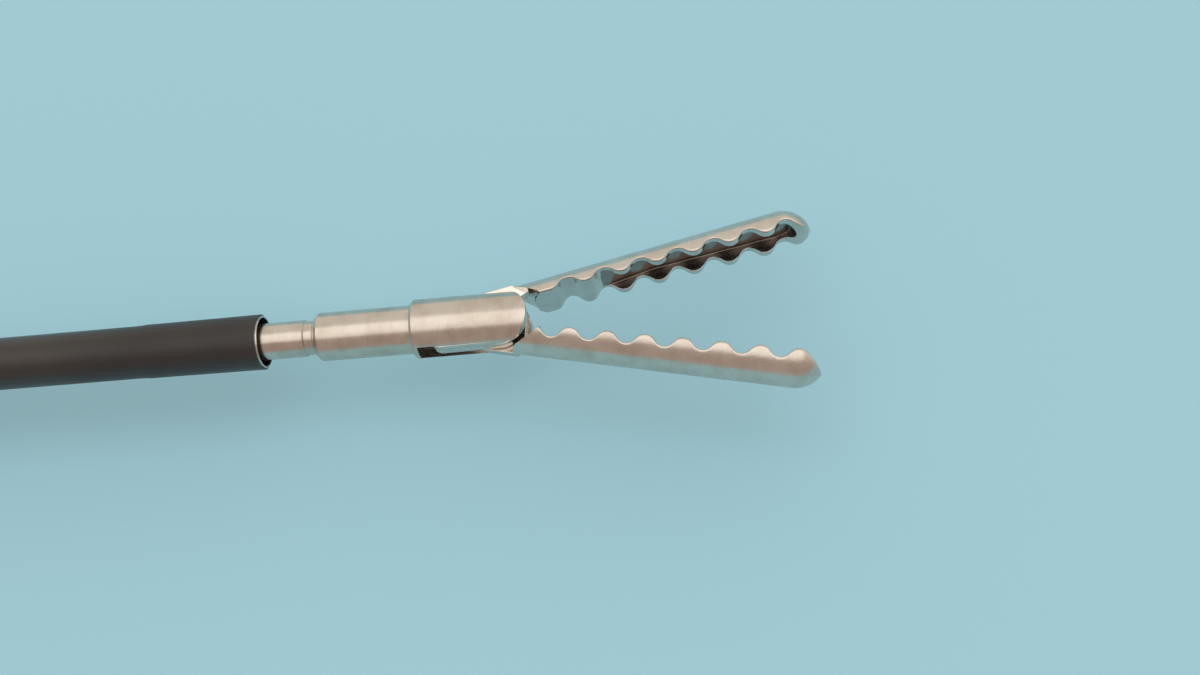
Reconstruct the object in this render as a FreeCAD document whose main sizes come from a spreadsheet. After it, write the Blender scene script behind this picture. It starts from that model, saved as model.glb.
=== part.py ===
import FreeCAD, Part
import Sketcher
import math
import os
import re

# Laparoscopic grasper, lying on its side: +X runs along the shaft to the jaws,
# +Z is up and is the axis of every hinge, and the grips reach down to -Y.
# The origin is on the shaft's axis, where its slim length starts ahead of the knob.
# All lengths are millimetres, and all angles are degrees.

SIZES = [
    ("tube_end", 280.0, "distal end of the outer tube, as drawn back"),
    ("draw_back", 12.85, "how far the tube is drawn back from the fork's shoulder"),
    ("fork_radius", 2.5, "fork and closed jaws, for a 5 mm port"),
    ("fork_shoulder", 7.25, "fork's shoulder behind the jaw pivot"),
    ("slot_rear", 6.75, "rear end of the fork's slot behind the pivot"),
    ("slot_half", 1.27, "half width of the fork's slot"),
    ("spigot_radius", 1.6, "fork's spigot in the insert body"),
    ("spigot_length", 5.0, ""),
    ("body_radius", 2.05, "insert body"),
    ("body_length", 8.2, "insert body ahead of its rear edge"),
    ("body_edge", 0.3, "chamfer of the body's rear edge"),
    ("fork_edge", 0.22, "chamfer of the fork's shoulder"),
    ("neck_radius", 1.56, "inner tube, seen as the neck"),
    ("neck_seat", 2.0, "depth of the inner tube in the insert body"),
    ("neck_groove", 0.12, "depth of the ring groove in the neck"),
    ("neck_groove_width", 0.9, ""),
    ("rod_bore", 0.95, "bore for the pull rod in tube, body and fork"),
    ("rod_radius", 0.8, "pull rod"),
    ("tongue_half", 0.42, "half thickness of the rod's tongue"),
    ("tongue_reach", 0.75, "half height and end radius of the tongue"),
    ("tang_gap", 0.03, "running gap beside each tang"),
    ("pivot_radius", 0.6, "jaw pivot pin"),
    ("pivot_skin", 0.25, "wall left over the blind end of the pivot pin"),
    ("drive_radius", 0.4, "drive pin in the cam slots"),
    ("pin_gap", 0.02, "running gap of the pivot pin"),
    ("cam_gap", 0.03, "running gap of the drive pin in the cam slots"),
    ("drive_open", 2.8, "drive pin behind the pivot with the jaws wide open"),
    ("cam_lead", 4.5, "rod travel for one radian of a jaw"),
    ("jaw_open", 30.0, "half angle of the widest opening"),
    ("jaw_rest", 12.2, "half angle as shown"),
    ("jaw_closed", 0.6, "a closed jaw's turn past parallel"),
    ("jaw_length", 27.1, "pivot to tip"),
    ("jaw_radius", 2.49, "round back of a jaw"),
    ("jaw_gap", 0.18, "gap between the ears and the jaws' shoulders"),
    ("bite_root", 1.085, "mean bite line above the jaw's axis at the pivot"),
    ("bite_tip", 0.33, "the same at the tip"),
    ("tooth_pitch", 3.09, ""),
    ("tooth_height", 0.8, "crest to valley"),
    ("tooth_start", 6.35, "first notch of the upper jaw ahead of the pivot"),
    ("bite_start", 1.0, "bite's outline behind the pivot"),
    ("cup_start", 9.2, "rear end of the milled hollow"),
    ("cup_rise", 4.4, "length of the ramp down which the mill enters the hollow"),
    ("cup_entry", 0.36, "hollow above the mean bite line where the ramp starts"),
    ("cup_end", 25.9, "front end of the milled hollow"),
    ("cup_depth", 0.82, "hollow above the mean bite line"),
    ("cup_half", 1.6, "half width of the hollow"),
    ("tail_length", 4.9, "centre of the tang's round tail behind the pivot"),
    ("tail_radius", 1.2, ""),
    ("tang_top", 2.15, "tang's back edge above the jaw's axis, inside the fork's round"),
    ("tang_neck", 3.3, "straight length of that edge behind the pivot"),
    ("tang_root", 4.2, "tang's front end in the jaw"),
    ("tang_throat", 2.35, "where the tang's lower edge meets the bite"),
    ("socket_depth", 9.0, "socket that takes the insert body"),
    ("socket_gap", 0.03, "running gap of the body in the socket"),
    ("socket_wall", 0.14, ""),
    ("socket_floor", 0.7, "socket's rear wall, welded to the tube's end"),
    ("tube_inner", 1.72, "bore of the outer tube"),
    ("tube_outer", 2.05, "outer tube"),
    ("sleeve_radius", 2.24, "insulating sleeve"),
    ("band_radius", 2.36, "sleeve's end, shrunk over the socket"),
    ("band_rear", 2.3, "rear of that band"),
    ("band_swell", 1.0, "length over which the sleeve swells to its band"),
    ("rear_radius", 2.6, "thicker rear end of the sleeve, in the knob"),
    ("band_length", 10.0, ""),
    ("rim_length", 0.15, "bare steel rim at the tube's end"),
    ("collar_length", 17.15, "latch collar at the tube's rear end"),
    ("collar_radius", 3.6, ""),
    ("collar_rear", 40.0, "rear end of the latch collar behind the origin"),
    ("groove_radius", 2.75, "latch groove in the collar"),
    ("groove_width", 3.8, ""),
    ("lock_back", 14.0, "tube lock behind the origin"),
    ("lock_radius", 1.6, "stem of the tube lock"),
    ("lock_gap", 0.05, ""),
    ("lock_tip", 3.9, "tip of the lock's stem above the axis"),
    ("lock_head", 2.6, "radius of the lock's button"),
    ("lock_travel", 1.0, ""),
    ("lock_cap_height", 2.6, ""),
    ("lock_top", 11.0, "top of the button above the axis"),
    ("knob_radius", 9.5, ""),
    ("knob_nose", 4.6, "radius of the knob's nose"),
    ("knob_cone", 8.0, "length of the knob's cone"),
    ("knob_edge", 1.0, "chamfer of the knob's rear edge"),
    ("knob_face", 1.0, "knob's front face behind the origin"),
    ("knob_rear", 22.0, "knob's rear face behind the origin"),
    ("knob_gap", 0.05, "running gap of the sleeve in the knob's nose"),
    ("flute_count", 8.0, ""),
    ("flute_radius", 2.6, ""),
    ("flute_turn", 22.5, "first flute's angle from the tube lock"),
    ("flute_offset", 11.2, "flute's axis from the knob's axis"),
    ("core_radius", 5.0, "core of the knob, and its journal in the handle"),
    ("core_bore", 3.7, ""),
    ("core_front", 4.0, "front end of the core behind the origin"),
    ("core_rear", 50.0, "rear end of the core behind the origin"),
    ("core_floor", 41.5, "rear end of the core's bore"),
    ("flange_front", 31.0, "front face of the core's thrust flange"),
    ("flange_width", 2.0, ""),
    ("flange_radius", 6.4, ""),
    ("journal_gap", 0.06, "running gap of the core in the handle"),
    ("flange_gap", 0.3, ""),
    ("seal_back", 46.0, "seal ring behind the origin"),
    ("seal_cord", 0.54, "radius of the seal ring's cord"),
    ("shell_half", 9.5, "half thickness of the handle at the hub"),
    ("grip_half", 5.5, "half thickness of the grip and its ring"),
    ("cavity_half", 3.8, "half width of the space for the lever"),
    ("shell_front", 26.0, "front of the handle behind the origin"),
    ("hub_radius", 10.0, ""),
    ("house_back", 63.0, "rear centre of the handle's housing behind the origin"),
    ("house_rise", 0.5, ""),
    ("house_edge", 3.0, "rounding of the housing's outer edge"),
    ("nose_radius", 9.1, "round front of the handle, behind the knob"),
    ("saddle_back", 57.0, "where the housing rests on the web of the thumb"),
    ("saddle_drop", 10.0, ""),
    ("saddle_radius", 8.0, ""),
    ("throat_back", 44.0, "rear of the grip where it leaves the housing"),
    ("throat_drop", 12.0, ""),
    ("throat_radius", 9.0, ""),
    ("neck_inset", 0.8, "grip's neck inside the housing's outline"),
    ("grip_drop", 40.0, "grip's lower end, in the finger ring"),
    ("grip_radius", 9.5, ""),
    ("grip_edge", 2.2, "rounding of the grip's and the rings' edges"),
    ("lever_back", 58.0, "lever pivot behind the origin"),
    ("lever_half", 3.5, "half thickness of the lever"),
    ("lever_ring_half", 5.5, "half thickness of the thumb ring"),
    ("lever_hub", 6.0, "radius of the lever's hub"),
    ("lever_horn", 4.8, "radius of the lever's top around the ball"),
    ("lever_sweep_gap", 0.6, ""),
    ("lever_edge", 1.2, "rounding of the lever's arm"),
    ("lever_close", 10.0, "lever's turn from rest to closed jaws"),
    ("bolt_radius", 2.0, "shoulder of the lever's pivot screw"),
    ("bolt_gap", 0.05, ""),
    ("bolt_head", 4.0, ""),
    ("bolt_head_height", 2.2, ""),
    ("bolt_end_gap", 0.2, "pivot screw's end short of the nut's face"),
    ("ball_radius", 2.0, "ball on the rod's rear end"),
    ("ball_gap", 0.12, ""),
    ("rod_way", 2.2, "depth of the rod's slot in the horn below the axis"),
    ("ring_hole", 11.5, "half width of a finger hole"),
    ("ring_wall", 5.0, ""),
    ("finger_back", 35.0, "finger ring behind the origin"),
    ("finger_top", 55.0, "upper centre of the finger hole below the axis"),
    ("finger_low", 75.0, "lower centre of the finger hole"),
    ("thumb_back", 92.0, ""),
    ("thumb_drop", 62.0, ""),
    ("arm_back", 78.0, "bend of the lever's arm"),
    ("arm_drop", 38.0, ""),
    ("arm_radius", 5.0, ""),
    ("rack_radius", 31.5, "ratchet teeth's tips from the lever pivot"),
    ("rack_height", 3.0, ""),
    ("rack_half", 1.2, ""),
    ("rack_tip", 64.0, "rack's free end, degrees below +X"),
    ("rack_root", 122.0, "rack's end in the lever's arm"),
    ("rack_step", 2.0, "degrees from tooth to tooth"),
    ("rack_tooth", 0.9, ""),
    ("rack_fit", 0.05, "gap round the rack in the lever's arm"),
    ("rack_entry", 20.0, "degrees of the rack's slot through the arm"),
    ("rack_way_gap", 0.5, "gap above and below the rack in the grip"),
    ("rack_way_front", 40.0, "front end of the rack's way in the grip, degrees below +X"),
    ("rack_way_rear", 100.0, "rear end of that way"),
    ("rack_pin_radius", 0.8, "pin that holds the rack in the lever's arm"),
    ("rack_pin_turn", 4.0, "degrees from the rack's end to that pin"),
    ("slot_gap", 0.4, "gap round the rack and the catch in the grip"),
    ("catch_reach", 6.7, "catch's pivot beyond the rack's tips"),
    ("catch_angle", 54.85, "catch's pivot, degrees below +X about the lever pivot"),
    ("catch_pin_radius", 1.2, ""),
    ("catch_turn", 9.5, ""),
    ("catch_hub", 2.6, ""),
    ("catch_teeth", 1.3, "teeth from the rack's end to the hook"),
    ("catch_depth", 0.135, "hook's depth in the teeth when it holds"),
    ("catch_knee", 1.7, "hook's knee beyond the rack's tips"),
    ("hook_tip", 0.2, "radius of the hook's tip"),
    ("hook_knee", 0.8, "radius of its knee"),
    ("trigger_reach", 15.0, "trigger's end ahead of the catch's pivot"),
    ("trigger_rise", 3.0, ""),
    ("trigger_radius", 2.2, ""),
    ("way_hook", 3.6, "radius of the catch's way round its hook"),
    ("way_hub", 4.0, "the same round its hub"),
    ("way_mouth", 5.5, "the same at the mouth, where the trigger comes out"),
    ("way_reach", 6.0, "mouth's centre ahead of the trigger"),
    ("pin_skin", 1.0, "wall left over each end of the catch's pin"),
    ("spring_radius", 2.1, "catch spring, wound round the catch's pin"),
    ("spring_height", 1.4, ""),
    ("spring_gap", 0.1, ""),
    ("screw_radius", 1.2, "shell screws"),
    ("screw_head", 2.2, ""),
    ("screw_reach", 3.5, "shell screws' ends below the joint plane"),
    ("screw_head_height", 1.6, ""),
    ("neck_screw_back", 41.0, "screw in the grip's neck"),
    ("neck_screw_drop", 15.0, ""),
    ("rear_screw_back", 67.5, "screw behind the lever's pivot"),
    ("rear_screw_rise", 4.0, ""),
    ("plug_back", 45.5, "current connector behind the origin"),
    ("plug_radius", 2.0, ""),
    ("plug_neck", 1.75, "connector inside its collar"),
    ("plug_base", 2.6, "radius of the connector's foot"),
    ("plug_base_height", 2.0, ""),
    ("plug_top", 25.0, ""),
    ("plug_foot", 6.4, "foot of the connector above the axis"),
    ("contact_radius", 1.1, "contact between the connector's foot and the core's journal"),
    ("collar_wall", 1.8, "insulating collar round the connector"),
    ("plug_collar_top", 13.0, ""),
    ("port_back", 36.5, "flush port behind the origin"),
    ("port_radius", 2.6, ""),
    ("port_bore", 1.5, ""),
    ("port_top", 17.0, ""),
    ("port_step", 0.5, "port's lower end above the core"),
    ("cap_radius", 3.6, ""),
    ("cap_height", 5.0, ""),
    ("cap_roof", 1.5, ""),
]

doc = FreeCAD.newDocument("laparoscopic_grasper")
sizes = doc.addObject("Spreadsheet::Sheet", "Sizes")
for row, (alias, number, note) in enumerate(SIZES, 1):
    sizes.set("A%d" % row, alias)
    sizes.set("B%d" % row, str(number))
    sizes.setAlias("B%d" % row, alias)
    sizes.set("C%d" % row, note)
doc.recompute()

# Places that several pieces share, as expressions of the sheet's sizes.
PIVOT = "(tube_end + draw_back + fork_shoulder)"
SHOULDER = "(tube_end + draw_back)"
BODY_REAR = "(tube_end + draw_back - body_length)"
DRIVE = "(drive_open + cam_lead * (jaw_open - jaw_rest) * pi / 180)"
SOCKET_REAR = "(tube_end - socket_depth)"
TUBE_FRONT = "(tube_end - socket_depth - socket_floor)"
SOCKET_OUTER = "(tube_outer + socket_gap + socket_wall)"
COLLAR_FRONT = "(collar_length - collar_rear)"
GROOVE_MID = "(-lock_back - draw_back)"
LEVER_DROP = "(cam_lead * (jaw_rest + jaw_closed) / lever_close)"
CATCH_X = "((rack_radius + catch_reach) * cos(catch_angle) - lever_back)"
CATCH_Y = "(-(rack_radius + catch_reach) * sin(catch_angle) - " + LEVER_DROP + ")"
LEVER_OPEN = "((jaw_open - jaw_rest) / (jaw_rest + jaw_closed) * lever_close)"


def bound(text):
    """Lead each size in an expression with the sheet's name."""
    return re.sub(r"\b([a-z]+_[a-z_]+)\b", r"Sizes.\1", text)


def value(text):
    """Work out an expression of sizes as a number."""
    return float(sizes.evalExpression(bound(text)))


def bind(item, **properties):
    """Bind properties, written with a double underscore for a dot, to the sheet."""
    for name, text in properties.items():
        item.setExpression(name.replace("__", "."), bound(text))


def polar(radius, degrees, centre=(0.0, 0.0)):
    angle = math.radians(degrees)
    return (centre[0] + radius * math.cos(angle), centre[1] + radius * math.sin(angle))


def vector(point, height=0.0):
    return FreeCAD.Vector(point[0], point[1], height)


def segment(first, last):
    return Part.LineSegment(vector(first), vector(last))


def arc(first, middle, last):
    return Part.Arc(vector(first), vector(middle), vector(last))


def polygon(points):
    """Straight edges through the points and back to the first."""
    return [segment(points[i - 1], points[i]) for i in range(1, len(points))] + [segment(points[-1], points[0])]


def circle(centre, radius):
    return [Part.Circle(vector(centre), FreeCAD.Vector(0, 0, 1), radius)]


def belt(circles):
    """Outline of a belt round circles (x, y, radius), given counter-clockwise."""
    touching = []
    for (x1, y1, r1), (x2, y2, r2) in zip(circles, circles[1:] + circles[:1]):
        length = math.hypot(x2 - x1, y2 - y1)
        along = ((x2 - x1) / length, (y2 - y1) / length)
        lean = (r1 - r2) / length
        side = math.sqrt(1 - lean * lean)
        touching.append((along[0] * lean + along[1] * side, along[1] * lean - along[0] * side))
    edges = []
    for i, (x, y, r) in enumerate(circles):
        before = touching[i - 1]
        after = touching[i]
        start = math.atan2(before[1], before[0])
        turn = (math.atan2(after[1], after[0]) - start) % (2 * math.pi)
        at = [(x + r * math.cos(start + turn * k), y + r * math.sin(start + turn * k)) for k in (0, 0.5, 1)]
        if turn > 1e-6:
            edges.append(arc(*at))
        x2, y2, r2 = circles[(i + 1) % len(circles)]
        edges.append(segment(at[2], (x2 + r2 * after[0], y2 + r2 * after[1])))
    return edges


def finish(item, label):
    item.Label = label
    return item


def own_plane(body, role):
    return [plane for plane in body.Origin.OriginFeatures if plane.Role == role][0]


def body_sketch(body, name, role="XY_Plane", lift=None):
    sketch = body.newObject("Sketcher::SketchObject", name)
    sketch.AttachmentSupport = [(own_plane(body, role), "")]
    sketch.MapMode = "FlatFace"
    if lift is not None:
        bind(sketch, AttachmentOffset__Base__z=lift)
    return sketch


def draw(sketch, edges):
    for edge in edges:
        sketch.addGeometry(edge)
    return sketch


def turned(label, corners):
    """A body of revolution about its X axis from bound corners (x, radius)."""
    body = doc.addObject("PartDesign::Body", label)
    sketch = body_sketch(body, label + "_outline")
    numbers = [(value(x), value(r)) for x, r in corners]
    draw(sketch, polygon(numbers))
    count = len(corners)
    for i in range(count):
        sketch.addConstraint(Sketcher.Constraint("Coincident", i, 2, (i + 1) % count, 1))
    for i, (corner, number) in enumerate(zip(corners, numbers)):
        for kind, text, start in (("DistanceX", corner[0], number[0]), ("DistanceY", corner[1], number[1])):
            rule = sketch.addConstraint(Sketcher.Constraint(kind, i, 1, start))
            sketch.setExpression("Constraints[%d]" % rule, bound(text))
    spin = body.newObject("PartDesign::Revolution", label + "_turning")
    spin.Profile = sketch
    spin.ReferenceAxis = (sketch, ["H_Axis"])
    spin.Angle = 360
    doc.recompute()
    return finish(body, label)


def prism(name, edges, low, high):
    """A straight solid on an outline in XY, between two bound heights."""
    sketch = doc.addObject("Sketcher::SketchObject", name + "_outline")
    draw(sketch, edges)
    bind(sketch, Placement__Base__z=low)
    solid = doc.addObject("Part::Extrusion", name)
    solid.Base = sketch
    solid.DirMode = "Custom"
    solid.Dir = FreeCAD.Vector(0, 0, 1)
    solid.Solid = True
    bind(solid, LengthFwd="(%s) - (%s)" % (high, low))
    return solid


def rod(name, radius, height, x="0", y="0", z="0", along="Z"):
    """A cylinder from a bound foot along an axis of the frame."""
    solid = doc.addObject("Part::Cylinder", name)
    turns = {"X": (FreeCAD.Vector(0, 1, 0), 90), "Y": (FreeCAD.Vector(1, 0, 0), -90),
             "Z": (FreeCAD.Vector(0, 0, 1), 0)}
    solid.Placement = FreeCAD.Placement(FreeCAD.Vector(), FreeCAD.Rotation(*turns[along]))
    bind(solid, Radius=radius, Height=height, Placement__Base__x=x, Placement__Base__y=y, Placement__Base__z=z)
    return solid


def block(name, low, high):
    solid = doc.addObject("Part::Box", name)
    bind(solid, Placement__Base__x=low[0], Placement__Base__y=low[1], Placement__Base__z=low[2])
    spans = ["(%s) - (%s)" % pair for pair in zip(high, low)]
    bind(solid, Length=spans[0], Width=spans[1], Height=spans[2])
    return solid


def fused(name, items):
    whole = doc.addObject("Part::MultiFuse", name)
    whole.Shapes = items
    return whole


def cut(name, base, tools):
    result = doc.addObject("Part::Cut", name)
    result.Base = base
    result.Tool = tools[0] if len(tools) == 1 else fused(name + "_tools", tools)
    return result


def eased(name, base, radius, heights):
    """Round the edges of a piece that lie at the given heights."""
    doc.recompute()
    levels = [value(height) for height in heights]
    chosen = []
    for index, side in enumerate(base.Shape.Edges, 1):
        box = side.BoundBox
        if box.ZLength < 1e-6 and min(abs(box.ZMax - level) for level in levels) < 1e-6:
            chosen.append((index, value(radius), value(radius)))
    result = doc.addObject("Part::Fillet", name)
    result.Base = base
    result.Edges = chosen
    return result


def common(name, first, second):
    result = doc.addObject("Part::Common", name)
    result.Base = first
    result.Tool = second
    return result


def pocket(body, name, edges, role="XY_Plane"):
    """Cut an outline right through a body, both ways from its own plane."""
    tool = body.newObject("PartDesign::Pocket", name)
    tool.Profile = draw(body_sketch(body, name + "_outline", role), edges)
    tool.SideType = "Symmetric"
    tool.Type = "ThroughAll"
    return tool


nodes = []

# Jaws: half-round bars with wavy biting edges that mesh, milled hollow behind the
# teeth, and a flat tang with a curved cam slot behind the pivot.


def bite_frame():
    """Root point, unit step along the mean bite line, and unit step into the jaw."""
    root = (0.0, value("bite_root"))
    length = math.hypot(value("jaw_length"), value("bite_tip - bite_root"))
    along = (value("jaw_length") / length, value("bite_tip - bite_root") / length)
    return root, along, (-along[1], along[0])


def on_bite(along_bite, into_jaw):
    root, step, rise = bite_frame()
    return (root[0] + step[0] * along_bite + rise[0] * into_jaw, root[1] + step[1] * along_bite + rise[1] * into_jaw)


def bite_edges(first_notch, start, stop, crest_first):
    """The wave of arcs and 45 degree flanks, with a notch at first_notch and each pitch on.

    It starts with the crest before that notch, or with a flat land that ends at the notch. The
    flank of the last crest runs straight on out of the nose.
    """
    pitch = value("tooth_pitch")
    height = value("tooth_height") / 2
    radius = (pitch / 4 - height) / (math.sqrt(2) - 1)
    reach = radius * math.sin(math.pi / 4)
    drop = radius * (1 - math.cos(math.pi / 4))
    count = int((stop - height - first_notch) / pitch - 0.5) + 1
    edges = []
    last = on_bite(start, -height)
    for k in range(-1 if crest_first else 0, 2 * count):
        place = first_notch + k * pitch / 2
        side = 1 if k % 2 == 0 else -1
        points = [on_bite(place + dx, side * (height - dy)) for dx, dy in ((-reach, drop), (0, 0), (reach, drop))]
        if k == 0 and not crest_first:
            lead = on_bite(place - reach - 2 * (height - drop), -height)
            edges.append(segment(last, lead))
            last = lead
        edges.append(segment(last, points[0]))
        edges.append(arc(*points))
        last = points[2]
    crest = first_notch + (count - 0.5) * pitch
    beyond = on_bite(crest + reach + pitch, pitch + drop - height)
    edges.append(segment(last, beyond))
    return edges, beyond


def cam_point(turn):
    reach = value("drive_open") + value("cam_lead") * math.radians(value("jaw_open") - turn)
    return (-reach * math.cos(math.radians(turn)), reach * math.sin(math.radians(turn)))


def cam_edges():
    """The slot that the drive pin runs through, as seen from the turning jaw."""
    half = value("drive_radius + cam_gap")
    closed = -value("jaw_closed")
    turns = [closed + (value("jaw_open") - closed) * k / 8 for k in range(9)]
    sides = ([], [])
    normals = []
    for turn in turns:
        here = cam_point(turn)
        ahead = cam_point(turn + 0.01)
        behind = cam_point(turn - 0.01)
        length = math.hypot(ahead[0] - behind[0], ahead[1] - behind[1])
        along = ((ahead[0] - behind[0]) / length, (ahead[1] - behind[1]) / length)
        normals.append(along)
        sides[0].append((here[0] - along[1] * half, here[1] + along[0] * half))
        sides[1].append((here[0] + along[1] * half, here[1] - along[0] * half))
    curves = []
    for side in sides:
        curve = Part.BSplineCurve()
        curve.interpolate([vector(point) for point in side])
        curves.append(curve)
    first = cam_point(turns[0])
    last = cam_point(turns[-1])
    rear = (first[0] - normals[0][0] * half, first[1] - normals[0][1] * half)
    front = (last[0] + normals[-1][0] * half, last[1] + normals[-1][1] * half)
    return curves + [arc(sides[0][0], rear, sides[1][0]), arc(sides[0][-1], front, sides[1][-1])]


def tang_edges():
    """The tang: round tail, back edge on the envelope, and its root in the jaw."""
    tail = value("tail_length")
    end = value("tail_radius")
    top = value("tang_top")
    nose = top
    lean = math.degrees(math.asin((nose - end) / tail))
    low_tail = polar(end, -90 - lean, (-tail, 0.0))
    low_hub = polar(nose, -90 - lean)
    front = polar(nose, -20)
    root = on_bite(value("tang_root"), value("tooth_height"))
    throat = on_bite(value("tang_throat"), value("tooth_height") / 4)
    high_tail = polar(end, 110, (-tail, 0.0))
    shoulder = (-value("tang_neck"), top)
    return [
        arc(high_tail, (-tail - end, 0.0), low_tail),
        segment(low_tail, low_hub),
        arc(low_hub, polar(nose, -55), front),
        segment(front, throat),
        segment(throat, root),
        segment(root, (root[0], top)),
        segment((root[0], top), shoulder),
        segment(shoulder, high_tail),
    ]


def jaw(label, first_notch, crest_first, turn, flip):
    """One jaw in its own frame: pivot at the origin, tip on +X, bite towards -Y."""
    body = doc.addObject("PartDesign::Body", label)
    length = value("jaw_length")
    radius = value("jaw_radius")
    half_nose = polar(radius, 45, (length - radius, 0.0))
    bar = body.newObject("PartDesign::Revolution", label + "_bar")
    profile = [segment((0, 0), (0, radius)), segment((0, radius), (length - radius, radius)),
               arc((length - radius, radius), half_nose, (length, 0)), segment((length, 0), (0, 0))]
    sketch = draw(body_sketch(body, label + "_profile"), profile)
    bar.Profile = sketch
    bar.ReferenceAxis = (sketch, ["H_Axis"])
    bar.Angle = 360
    doc.recompute()
    edges, beyond = bite_edges(first_notch, -value("bite_start"), length, crest_first)
    below = -radius - 1
    start = on_bite(-value("bite_start"), -value("tooth_height") / 2)
    far = beyond[0] + radius
    edges += [segment(beyond, (far, beyond[1])), segment((far, beyond[1]), (far, below)),
              segment((far, below), (start[0], below)), segment((start[0], below), start)]
    pocket(body, label + "_bite", edges)
    shoulder = value("fork_radius + jaw_gap")
    pocket(body, label + "_shoulder", circle((0, 0), shoulder))
    rear = value("cup_start")
    mill = value("cup_half")
    front = value("cup_end") - mill
    depth = value("cup_depth")
    hollow = [on_bite(rear, -radius), on_bite(front, -radius), on_bite(front, depth),
              on_bite(rear + value("cup_rise"), depth), on_bite(rear, value("cup_entry"))]
    cup = body.newObject("PartDesign::Pocket", label + "_hollow")
    cup.Profile = draw(body_sketch(body, label + "_hollow_outline"), polygon(hollow))
    cup.SideType = "Symmetric"
    bind(cup, Length="2 * cup_half")
    doc.recompute()
    end = body.newObject("PartDesign::Pocket", label + "_hollow_end")
    end.Profile = draw(body_sketch(body, label + "_hollow_end_outline", "XZ_Plane"), circle((0, 0), mill))
    foot = on_bite(front, depth)
    tilt = math.degrees(math.atan2(bite_frame()[1][1], bite_frame()[1][0]))
    end.Profile[0].AttachmentOffset = FreeCAD.Placement(
        FreeCAD.Vector(foot[0], 0, -foot[1]), FreeCAD.Rotation(FreeCAD.Vector(0, 1, 0), tilt))
    end.Type = "ThroughAll"
    end.Reversed = True
    doc.recompute()
    tang = body.newObject("PartDesign::Pad", label + "_tang")
    tang.Profile = draw(body_sketch(body, label + "_tang_outline", lift="tongue_half + tang_gap"), tang_edges())
    bind(tang, Length="slot_half - tongue_half - 2 * tang_gap")
    doc.recompute()
    pocket(body, label + "_cam", cam_edges())
    pocket(body, label + "_pivot", circle((0, 0), value("pivot_radius + pin_gap")))
    doc.recompute()
    spin = FreeCAD.Rotation(FreeCAD.Vector(0, 0, 1), turn)
    roll = FreeCAD.Rotation(FreeCAD.Vector(1, 0, 0), flip)
    body.Placement = FreeCAD.Placement(FreeCAD.Vector(value(PIVOT), 0, 0), spin.multiply(roll))
    return finish(body, label)


nodes.append(jaw("jaw_upper", value("tooth_start"), False, value("jaw_rest"), 0))
nodes.append(jaw("jaw_lower", value("tooth_start - tooth_pitch / 2"), True, -value("jaw_rest"), 180))

# Fork: turned shoulder and spigot, slotted for the tangs, ears rounded about the pivot.
fork = turned("jaw_fork", [
    (SHOULDER + " - spigot_length", "rod_bore"), (PIVOT + " + fork_radius", "rod_bore"),
    (PIVOT + " + fork_radius", "fork_radius"), (SHOULDER + " + fork_edge", "fork_radius"),
    (SHOULDER, "fork_radius - fork_edge"), (SHOULDER, "spigot_radius"),
    (SHOULDER + " - spigot_length", "spigot_radius")])
slot_low = value(PIVOT + " - slot_rear")
slot_far = value(PIVOT + " + fork_radius + 1")
slot_side = value("slot_half")
slot_corners = [(slot_low, -slot_side), (slot_far, -slot_side), (slot_far, slot_side), (slot_low, slot_side)]
pocket(fork, "fork_slot", polygon(slot_corners), "XZ_Plane")
ear = value("fork_radius")
hinge = (value(PIVOT), 0.0)
past = hinge[0] + ear + 1
pocket(fork, "fork_ears", [
    arc(polar(ear, 90, hinge), polar(ear, 0, hinge), polar(ear, -90, hinge)),
    segment(polar(ear, -90, hinge), (hinge[0], -ear - 1)), segment((hinge[0], -ear - 1), (past, -ear - 1)),
    segment((past, -ear - 1), (past, ear + 1)), segment((past, ear + 1), (hinge[0], ear + 1)),
    segment((hinge[0], ear + 1), polar(ear, 90, hinge))])
pin_hole = fork.newObject("PartDesign::Pocket", "fork_pin_hole")
pin_hole_sketch = body_sketch(fork, "fork_pin_hole_outline", lift="fork_radius - pivot_skin")
pin_hole.Profile = draw(pin_hole_sketch, circle(hinge, value("pivot_radius")))
bind(pin_hole, Length="2 * fork_radius")
doc.recompute()
nodes.append(fork)

pin_blank = rod("jaw_pivot_pin_blank", "pivot_radius", "2 * fork_radius - pivot_skin", x=PIVOT, z="-fork_radius")
pin_round = rod("jaw_pivot_pin_round", "fork_radius", "2 * fork_radius", x=PIVOT + " - fork_radius", along="X")
nodes.append(finish(common("jaw_pivot_pin", pin_blank, pin_round), "jaw_pivot_pin"))

nodes.append(finish(rod("drive_pin", "drive_radius", "2 * slot_half - 4 * tang_gap", x=PIVOT + " - " + DRIVE,
                        z="2 * tang_gap - slot_half"), "drive_pin"))

# Pull rod: long wire with a flat tongue in front; its ball is screwed on behind.
rod_front = PIVOT + " - slot_rear - tongue_reach"
wire = rod("pull_rod_wire", "rod_radius", rod_front + " + lever_back", x="-lever_back", along="X")
tongue = block("pull_rod_tongue", (rod_front + " - tongue_reach", "-tongue_reach", "-tongue_half"),
               (PIVOT + " - " + DRIVE, "tongue_reach", "tongue_half"))
tongue_end = rod("pull_rod_end", "tongue_reach", "2 * tongue_half", x=PIVOT + " - " + DRIVE, z="-tongue_half")
tongue_hole = rod("pull_rod_hole", "drive_radius", "4 * tongue_half", x=PIVOT + " - " + DRIVE, z="-2 * tongue_half")
ball = doc.addObject("Part::Sphere", "rod_ball_round")
bind(ball, Radius="ball_radius", Placement__Base__x="-lever_back")
ball_bore = rod("rod_ball_bore", "rod_radius", "2 * ball_radius", x="-lever_back", along="X")
nodes.append(finish(cut("pull_rod", fused("pull_rod_whole", [wire, tongue, tongue_end]), [tongue_hole]), "pull_rod"))
nodes.append(finish(cut("rod_ball", ball, [ball_bore]), "rod_ball"))

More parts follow.
